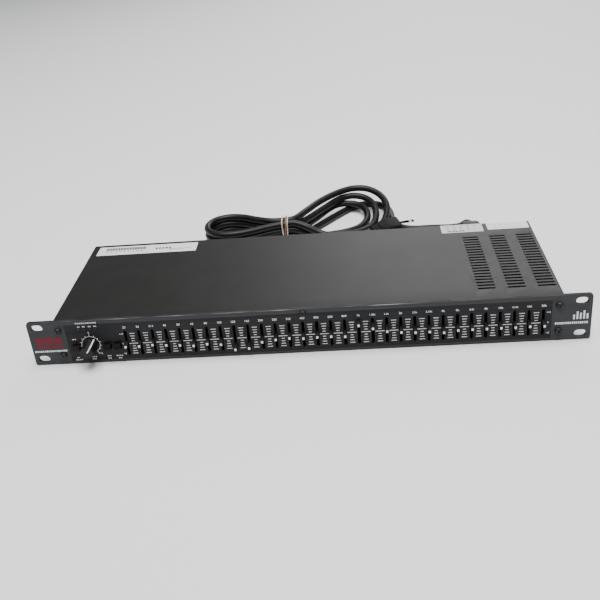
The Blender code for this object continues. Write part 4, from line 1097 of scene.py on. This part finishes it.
@dataclass
class Controls:
    """The knob and the lamps, which stand in for plain ones."""

    shop: Workshop
    gain: Point = (-187.8 * MM, -74.3 * MM, 19.3 * MM)
    knob_proud: float = 14.5 * MM
    base_radius: float = 6.7 * MM
    face_radius: float = 5.7 * MM
    dish: float = 0.25 * MM
    skirt: float = 2.2 * MM
    bore: tuple[float, float] = (3.35 * MM, 6.0 * MM)
    groove: float = 0.22 * MM
    pointer_angle: float = 36.0
    pointer_width: float = 1.1 * MM
    pointer_height: float = 0.34 * MM
    lamps: tuple[tuple[float, float], ...] = ((-195.4, 34.9), (-190.8, 34.9), (-185.6, 34.9),
                                              (-180.8, 34.9), (-201.1, 21.9))
    lens: tuple[float, float, float] = (1.0 * MM, 0.75 * MM, 0.8 * MM)
    lens_y: float = -74.32 * MM

    def build_knob(self) -> None:
        """Makes the knob with its finger grooves and its white pointer."""
        top, face, base = self.knob_proud, self.face_radius, self.base_radius
        bore, bore_top = self.bore
        profile = [(0.0, top - self.dish), (face - 1.1 * MM, top - self.dish),
                   (face - 0.8 * MM, top), (face - 0.45 * MM, top),
                   (face - 0.12 * MM, top - 0.14 * MM), (face, top - 0.5 * MM),
                   (base - 0.12 * MM, self.skirt), (base, 1.7 * MM), (base, 0.8 * MM),
                   (base - 0.2 * MM, 0.6 * MM), (bore, 0.6 * MM), (bore, bore_top),
                   (0.0, bore_top)]
        bm = turned(profile, 90, Matrix())
        side = [f for f in bm.faces if abs(f.normal.z) < 0.3
                and f.calc_center_median().to_2d().length > 5.0 * MM and f.calc_area() > 4e-6]
        ordered = sorted(side, key=lambda f: math.atan2(*f.calc_center_median().to_2d()))
        grooves = [f for number, f in enumerate(ordered) if number % 3 == 1]
        bmesh.ops.inset_individual(bm, faces=grooves, thickness=0.04 * MM, depth=-self.groove)
        bmesh.ops.transform(bm, matrix=facing_front(*self.gain), verts=bm.verts)
        self.shop.add_mesh("gain_knob_cap", bm, "gain", Paint.BLACK, "black_plastic", "gain_knob")
        bm = bmesh.new()
        length = face - 0.6 * MM
        width, height = self.pointer_width, self.pointer_height
        add_bar(bm, (0.0, -top - 0.03 * MM, 0.4 * MM + length / 2),
                (width, height, length - 0.4 * MM))
        lean = math.atan2(base - face, top - self.skirt)
        drop = top - 0.9 * MM
        middle = (0.0, -(top - drop / 2), face + math.tan(lean) * drop / 2 + 0.02 * MM)
        add_bar(bm, middle, (width, drop, height), Matrix.Rotation(lean, 4, "X"))
        round_edges(bm, bm.edges[:], 0.08 * MM, 2)
        turn = Matrix.Rotation(math.radians(self.pointer_angle), 4, "Y")
        bmesh.ops.transform(bm, matrix=Matrix.Translation(self.gain) @ turn, verts=bm.verts)
        self.shop.add_mesh("gain_pointer", bm, "gain", Paint.WHITE, "print_white")

    def build_lamps(self) -> None:
        """Makes the domed lens of each lamp."""
        radius, dome, depth = self.lens
        profile = [(radius * math.sin(math.radians(a)), dome * math.cos(math.radians(a)))
                   for a in range(0, 91, 15)] + [(radius, -depth), (0.0, -depth)]
        for number, (x, z) in enumerate(self.lamps, 1):
            bm = turned(profile, 24, facing_front(x * MM, self.lens_y, z * MM))
            name = f"lamp_lens_{number}"
            self.shop.add_mesh(name, bm, "chassis", Paint.LAMP, "lamp")

    def build(self) -> None:
        """Makes the knob and the lamps."""
        self.build_knob()
        self.build_lamps()


# Rear


@dataclass
class RearTrim:
    """Flanges and screws round the signal sockets."""

    shop: Workshop
    wall_y: float = 74.3 * MM
    socket_z: float = 22.5 * MM
    sockets: tuple[tuple[str, float], ...] = (("input", -150.0), ("output", -60.0))
    flange: tuple[float, float, float] = (26.0, 31.0, 1.4)
    opening: float = 11.8 * MM
    gap: float = 0.05 * MM
    screw_offset: tuple[float, float] = (9.8, 12.4)
    head: tuple[tuple[float, float], ...] = ((0.0, 1.1), (0.9, 1.0), (1.5, 0.6), (1.7, 0.0),
                                             (0.0, 0.0))

    def build_flange(self, label: str, x: float) -> None:
        """Makes a rounded plate with a round opening, and its two screws."""
        width, height, thickness = (v * MM for v in self.flange)
        bm = bmesh.new()
        holed_plate(bm, self.opening, 48, width / 2, height / 2)
        bmesh.ops.recalc_face_normals(bm, faces=bm.faces)
        bmesh.ops.solidify(bm, geom=bm.faces[:], thickness=thickness)
        floor = min(v.co.z for v in bm.verts)
        bmesh.ops.translate(bm, verts=bm.verts, vec=(0, 0, -floor))
        bmesh.ops.recalc_face_normals(bm, faces=bm.faces)
        rim = [e for e in sharp_edges(bm, 50.0) if min(v.co.z for v in e.verts) > thickness / 2]
        round_edges(bm, rim, 0.3 * MM, 2)
        back = self.wall_y + self.gap
        place = facing_back(x * MM, back, self.socket_z)
        bmesh.ops.transform(bm, matrix=place, verts=bm.verts)
        name = f"{label}_flange"
        self.shop.add_mesh(name, bm, "chassis", Paint.BLACK, "black_plastic")
        screws = bmesh.new()
        profile = [(radius * MM, rise * MM) for radius, rise in self.head]
        across, upward = (v * MM for v in self.screw_offset)
        for side in (-1, 1):
            place = facing_back(x * MM + side * across, back + thickness,
                                self.socket_z + side * upward)
            add_copy(screws, turned(profile, 24, place))
        name = f"{label}_flange_screws"
        self.shop.add_mesh(name, screws, "chassis", Paint.SCREW, "screw_black")

    def build(self) -> None:
        """Makes the trim of both sockets."""
        for label, x in self.sockets:
            self.build_flange(label, x)


@dataclass
class CordEnds:
    """The connector in the inlet, the plug, their ribbed reliefs and the rubber band."""

    shop: Workshop
    inlet_x: float = 166.0 * MM
    socket_z: float = 22.5 * MM
    grip: tuple[float, float] = (25.4, 17.4)
    grip_y: tuple[float, float] = (76.9, 109.7)
    chamfer: float = 4.6
    grip_waist: tuple[tuple[float, float], ...] = ((0.12, 1.0), (0.17, 0.93), (0.62, 0.9),
                                                   (0.68, 0.97), (0.9, 0.96), (1.0, 0.78))
    relief: tuple[float, float, float] = (5.6 * MM, 4.4 * MM, 0.45 * MM)
    plug_turn: float = 13.0
    plug_face: Point = (96.0, 134.7, 12.0)
    plug_size: Point = (32.0, 23.9, 22.5)
    plug_widths: tuple[float, ...] = (0.62, 0.66, 0.84, 0.95, 1.0, 1.0, 1.0)
    plug_rib: Point = (1.3 * MM, 11.0 * MM, 2.6 * MM)
    rib_first: float = -22.0
    rib_pitch: float = 3.2
    rib_height: float = 8.9
    relief_first: float = -31.0
    relief_pitch: float = 1.02
    relief_points: int = 21
    blade: Point = (4.2, 3.15, 1.5)
    blade_hole: float = 1.6 * MM
    blade_foot: float = -13.8 * MM
    blade_place: Point = (12.8, 4.0, 6.35)
    pin: tuple[tuple[float, float], ...] = ((0.0, 19.6), (1.2, 19.3), (2.0, 18.3), (2.3, 16.8),
                                            (2.3, -1.0), (0.0, -1.0))
    pin_y: float = -7.9 * MM
    band_x: float = -28.0
    band_low: tuple[float, float] = (130.0, 0.75)
    band_high: tuple[float, float] = (148.6, 31.2)
    band_corner: float = 3.6
    strand: float = 0.65 * MM

    def build_connector(self, line: list[Vector]) -> None:
        """Makes the connector's grip, with its waist, and its relief."""
        half, height = self.grip[0] / 2 * MM, self.grip[1] / 2 * MM
        cut = self.chamfer * MM
        bm = bmesh.new()
        outline = ((-half, -height), (half, -height), (half, height - cut), (half - cut, height),
                   (cut - half, height), (-half, height - cut))
        ring = [bm.verts.new((x, 0.0, z)) for x, z in outline]
        edges = [bm.edges.new((a, b)) for a, b in zip(ring, ring[1:] + ring[:1])]
        y_low, y_high = (v * MM for v in self.grip_y)
        done, size = 0.0, 1.0
        for share, scale in self.grip_waist:
            grown = bmesh.ops.extrude_edge_only(bm, edges=edges)["geom"]
            edges = [g for g in grown if isinstance(g, bmesh.types.BMEdge)]
            ends = [g for g in grown if isinstance(g, bmesh.types.BMVert)]
            step = (share - done) * (y_high - y_low)
            bmesh.ops.translate(bm, verts=ends, vec=(0, step, 0))
            bmesh.ops.scale(bm, verts=ends, vec=(scale / size, 1, scale / size))
            done, size = share, scale
        bmesh.ops.holes_fill(bm, edges=bm.edges, sides=0)
        bmesh.ops.recalc_face_normals(bm, faces=bm.faces)
        round_edges(bm, sharp_edges(bm, 20.0), 0.7 * MM, 3)
        bmesh.ops.translate(bm, verts=bm.verts, vec=(self.inlet_x, y_low, self.socket_z))
        self.shop.add_mesh("connector_grip", bm, "chassis", Paint.CORD, "cord_rubber",
                           "cord_connector")
        sleeve = ribbed_sleeve("connector_relief", line, *self.relief)
        self.shop.add("connector_relief", sleeve, "chassis", Paint.CORD, "cord_rubber")

    def build_plug(self) -> None:
        """Makes the moulded plug on its side, its relief and its metal pins."""
        spin = Matrix.Rotation(math.radians(self.plug_turn), 4, "Z")
        turn = Matrix.Translation(Vector(self.plug_face) * MM) @ spin
        bm = bmesh.new()
        add_bar(bm, (0, 0, 0), (1.0, 1.0, 1.0))
        along = [e for e in bm.edges if abs((e.verts[0].co - e.verts[1].co).x) > 0.5]
        bmesh.ops.subdivide_edges(bm, edges=along, cuts=len(self.plug_widths) - 2)
        for vert in bm.verts:
            x, y, z = vert.co
            width = self.plug_widths[round((x + 0.5) * 6)]
            vert.co = Vector((x - 0.5, y * width, z * width)) * Vector(self.plug_size) * MM
        bm.normal_update()
        round_edges(bm, sharp_edges(bm, 40.0), 2.2 * MM, 4)
        for number in range(4):
            for side in (-1, 1):
                x = (self.rib_first + self.rib_pitch * number) * MM
                add_bar(bm, (x, 0.0, side * self.rib_height * MM), self.plug_rib)
        bmesh.ops.transform(bm, matrix=turn, verts=bm.verts)
        self.shop.add_mesh("plug_body", bm, "chassis", Paint.DULL_BLACK, "cord_rubber",
                           "mains_plug", smooth=50.0)
        line = [turn @ Vector(((self.relief_first - self.relief_pitch * number) * MM, 0, 0))
                for number in range(self.relief_points)]
        sleeve = ribbed_sleeve("plug_relief", line, *self.relief)
        self.shop.add("plug_relief", sleeve, "chassis", Paint.CORD, "cord_rubber")
        pins = bmesh.new()
        for side in (-1, 1):
            self.add_blade(pins, side)
        place = Matrix.Translation((0.0, self.pin_y, 0.0)) @ Matrix.Rotation(math.pi / 2, 4, "Y")
        profile = [(radius * MM, reach * MM) for radius, reach in self.pin]
        add_copy(pins, turned(profile, 32, place))
        bmesh.ops.transform(pins, matrix=turn, verts=pins.verts)
        self.shop.add_mesh("plug_pins", pins, "chassis", Paint.NICKEL, "steel")

    def add_blade(self, bm: bmesh.types.BMesh, side: int) -> None:
        """Adds a flat blade with a round hole near its end, on one side of the middle."""
        half_length, half_width, thickness = (v * MM for v in self.blade)
        kept = set(bm.verts)
        outline, faces = holed_plate(bm, self.blade_hole, 24, half_length, half_width)
        for vert in outline:
            if vert.co.x < 0.1 * MM - half_length:
                vert.co.x = self.blade_foot
        bmesh.ops.solidify(bm, geom=faces, thickness=thickness)
        both = [v for v in bm.verts if v not in kept]
        bmesh.ops.recalc_face_normals(bm, faces=list({f for v in both for f in v.link_faces}))
        middle = sum(v.co.z for v in both) / len(both)
        x, y, z = (v * MM for v in self.blade_place)
        bmesh.ops.translate(bm, verts=both, vec=(x, y, side * z - middle))

    def build_band(self) -> None:
        """Makes the rubber band: two pale strands and a brown one twisted between them."""
        strands = (("band_pale_left", -3.0, -1.6, Paint.BAND_PALE),
                   ("band_brown", 1.2, -1.4, Paint.BAND_BROWN),
                   ("band_pale_right", 3.0, 1.8, Paint.BAND_PALE))
        (low_y, low_z), (high_y, high_z), corner = self.band_low, self.band_high, self.band_corner
        ring = []
        for y, z, start in ((high_y - corner, high_z - corner, 0),
                            (low_y + corner, high_z - corner, 90),
                            (low_y + corner, low_z + corner, 180),
                            (high_y - corner, low_z + corner, 270)):
            for turn in range(start, start + 91, 15):
                angle = math.radians(turn)
                ring.append((y + corner * math.cos(angle), z + corner * math.sin(angle)))
        for name, top_x, bottom_x, paint in strands:
            line = [Vector((self.band_x + bottom_x
                            + (top_x - bottom_x) * (z - low_z) / (high_z - low_z), y, z)) * MM
                    for y, z in ring]
            data = bare_curve(name, line, self.strand, 3, closed=True)
            self.shop.add(name, data, "chassis", paint, "band_rubber")


@dataclass
class Cord:
    """The mains cord: a lead, four turns folded into a hank, and a tail to the plug."""

    shop: Workshop
    diameter: float = 7.5 * MM
    relief_length: float = 25.0 * MM
    relief_step: float = 1.04 * MM
    relief_start: float = 1.5 * MM
    step: float = 3.0 * MM
    rows: tuple[float, ...] = (3.9, 11.5, 19.1, 26.7)
    lead: Route = field(default_factory=lambda: [
        (166.0, 109.7, 22.5), (166.0, 118.0, 21.5), (165.3, 126.5, 18.1), (162.8, 134.4, 12.9),
        (157.9, 141.3, 8.2), (150.7, 146.7, 5.1), (141.6, 149.9, 3.9), (129.0, 150.9, 3.9),
        (116.0, 150.8, 3.9), (106.05, 152.8, 3.9), (97.6, 158.4, 3.9), (92.0, 166.85, 3.9),
        (90.0, 176.8, 3.9)])
    lobe: list[tuple[float, float]] = field(default_factory=lambda: [
        (-18.0, 147.3), (-31.0, 143.6), (-45.0, 144.4), (-60.0, 150.5), (-75.0, 158.5),
        (-90.0, 161.6), (-102.0, 158.3), (-110.0, 150.2), (-113.0, 139.0), (-110.0, 127.8),
        (-101.5, 119.5), (-90.0, 116.2), (-75.0, 117.8), (-60.0, 122.8), (-45.0, 129.4),
        (-31.0, 133.8), (-18.0, 135.6),
    ])
    loops: tuple[tuple[Point, ...], ...] = (
        ((89.6, 188.0, 4.0), (88.8, 200.0, 4.0), (85.5, 212.5, 4.0), (77.5, 222.5, 4.0),
         (65.5, 227.0, 4.0), (53.0, 224.6, 4.0), (41.0, 215.5, 4.0), (28.0, 200.5, 4.0),
         (14.0, 183.0, 4.0), (0.0, 165.5, 4.0)),
        ((0.0, 146.5, 4.0), (22.0, 149.5, 4.0), (40.0, 155.0, 4.0), (54.0, 165.5, 4.0),
         (61.8, 182.0, 5.5), (61.4, 198.3, 8.0), (54.9, 209.1, 10.0), (45.1, 214.3, 11.0),
         (34.3, 214.4, 11.5), (25.2, 209.8, 11.5), (15.5, 197.5, 11.5), (-1.0, 170.0, 11.5)),
        ((0.0, 141.0, 9.0), (20.0, 142.2, 5.5), (38.0, 147.0, 4.0), (54.0, 153.5, 4.0),
         (66.5, 165.0, 4.5), (71.7, 180.0, 8.0), (71.6, 195.5, 12.0), (67.8, 207.5, 15.0),
         (59.5, 215.6, 17.5), (48.0, 218.5, 19.0), (36.5, 215.6, 19.1), (27.0, 207.0, 19.1),
         (16.0, 191.5, 19.1), (5.4, 176.0, 19.1), (-5.0, 161.0, 19.1)),
        ((0.0, 134.9, 13.5), (18.0, 135.4, 8.5), (34.0, 138.6, 4.2), (50.0, 143.0, 4.0),
         (65.0, 151.0, 4.2), (77.0, 163.0, 6.0), (83.8, 179.0, 11.0), (84.3, 196.0, 17.0),
         (77.3, 211.5, 22.0), (64.0, 221.5, 25.5), (48.0, 222.5, 26.7), (33.0, 214.5, 27.0),
         (19.0, 201.5, 27.0), (6.0, 185.0, 27.0), (-6.0, 165.0, 27.0)),
    )
    tail: tuple[Point, ...] = ((-4.0, 132.6, 22.5), (10.0, 129.5, 16.0), (25.0, 126.0, 12.6),
                               (36.0, 123.4, 12.0), (45.9, 123.2, 12.0))

    def whole_line(self) -> list[Vector]:
        """Returns the centreline from the connector's grip to the plug."""
        points: Route = list(self.lead)
        for row, loop in zip(self.rows, self.loops):
            points += loop
            points += [(x, y, row) for x, y in self.lobe]
        points += self.tail
        return smooth_line(in_metres(points), self.step)

    def relief_line(self) -> list[Vector]:
        """Returns the centreline of the connector's relief, in short steps."""
        points = smooth_line(in_metres(self.lead), self.relief_step)
        count = round(self.relief_length / self.relief_step)
        return [points[0] - Vector((0, self.relief_start, 0))] + points[:count + 1]

    def build(self) -> bpy.types.Object:
        line = from_distance(self.whole_line(), self.relief_length)
        data = bare_curve("cord", line, self.diameter / 2, 5)
        cord = self.shop.add("cord", data, "chassis", Paint.CORD, "cord_rubber", "cord_lead",
                             "cord_hank")
        log.info("cord of %.3f m", sum((b - a).length for a, b in zip(line, line[1:])))
        return cord


# Scene


@dataclass
class Studio:
    """The camera, the floor and the lights."""

    lens: float = 48.94
    shift: float = -0.0733
    eye: Point = (0.0511, -0.6649, 0.3987)
    right: Point = (0.99568, 0.03869, -0.08439)
    up: Point = (0.05715, 0.46094, 0.88559)
    back: Point = (0.07316, -0.88659, 0.45674)
    floor_half: float = 6.0
    floor_color: Color = (0.86, 0.86, 0.87)
    floor_roughness: float = 0.8
    sky_color: Color = (0.93, 0.96, 1.0)
    sky_strength: float = 0.26
    lights: tuple[tuple[str, Point, Point, float, float], ...] = (
        ("top_light", (0.1, -0.3, 2.1), (0.0, 0.0, 0.0), 1.6, 84.0),
        ("window_light", (0.42, 1.9, 1.1), (0.1, 0.0, 0.0), 1.15, 16.5),
    )

    def build_camera(self) -> None:
        """Makes the camera at the viewing angle."""
        data = bpy.data.cameras.new("camera")
        data.lens = self.lens
        data.sensor_width = 36.0
        data.shift_y = self.shift
        data.clip_start = 0.01
        camera = in_scene("camera", data)
        turn = Matrix((self.right, self.up, self.back)).transposed()
        camera.matrix_world = Matrix.LocRotScale(Vector(self.eye), turn, None)
        bpy.context.scene.camera = camera

    def build_floor(self) -> None:
        """Makes a plain pale floor."""
        bm = bmesh.new()
        bmesh.ops.create_grid(bm, x_segments=1, y_segments=1, size=self.floor_half)
        mesh = bpy.data.meshes.new("floor")
        bm.to_mesh(mesh)
        bm.free()
        floor = in_scene("floor", mesh)
        material = bpy.data.materials.new("floor")
        material.use_nodes = True
        shader = material.node_tree.nodes["Principled BSDF"]
        shader.inputs["Base Color"].default_value = (*self.floor_color, 1.0)
        shader.inputs["Roughness"].default_value = self.floor_roughness
        mesh.materials.append(material)

    def build_light(self, name: str, place: Point, target: Point, size: float,
                    power: float) -> None:
        """Makes a square soft light that looks at a point."""
        data = bpy.data.lights.new(name, "AREA")
        data.size = size
        data.energy = power
        light = in_scene(name, data)
        light.location = place
        aim = Vector(target) - Vector(place)
        light.rotation_euler = aim.to_track_quat("-Z", "Y").to_euler()

    def build(self) -> None:
        """Makes the whole studio."""
        self.build_camera()
        self.build_floor()
        world = bpy.data.worlds.new("world")
        world.use_nodes = True
        background = world.node_tree.nodes["Background"]
        background.inputs["Color"].default_value = (*self.sky_color, 1.0)
        background.inputs["Strength"].default_value = self.sky_strength
        bpy.context.scene.world = world
        for light in self.lights:
            self.build_light(*light)


PLAIN = (
    ("chassis_tray", Paint.ZINC), ("slider_board", Paint.POTS), ("main_board", Paint.BOARD),
    ("switch_board", Paint.BOARD), ("mains_transformer", Paint.CORE),
    ("gain_pot", Paint.SWITCH), ("gain_shaft", Paint.STEEL), ("level_meter", Paint.LAMP),
    ("bypass_button", Paint.BUTTON), ("low_cut_button", Paint.DULL_BLACK),
    ("range_button", Paint.DULL_BLACK), ("iec_inlet", Paint.BLACK), ("xlr_output", Paint.BLACK),
    ("xlr_input", Paint.BLACK),
)


def dress_nodes(effects: Effects) -> None:
    """Gives each node that is shown as it is its finish."""
    for name, paint in PLAIN:
        dress(frame["nodes"][name], paint, effects)
    for name, node in frame["nodes"].items():
        if name.startswith("slider_lever_"):
            dress(node, Paint.LEVER, effects)


def main() -> None:
    """Builds the scene in order."""
    logging.basicConfig(level=logging.INFO, format="%(message)s")
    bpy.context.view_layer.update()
    Studio().build()
    shop = Workshop(Effects())
    cord = Cord(shop)
    ends = CordEnds(shop)
    ends.build_connector(cord.relief_line())
    ends.build_plug()
    ends.build_band()
    cord.build()
    Case(shop).build()
    Printing(shop).build()
    Stickers(shop).build()
    Controls(shop).build()
    RearTrim(shop).build()
    dress_nodes(shop.effects)


if __name__ == "__main__":
    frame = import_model()
    main()
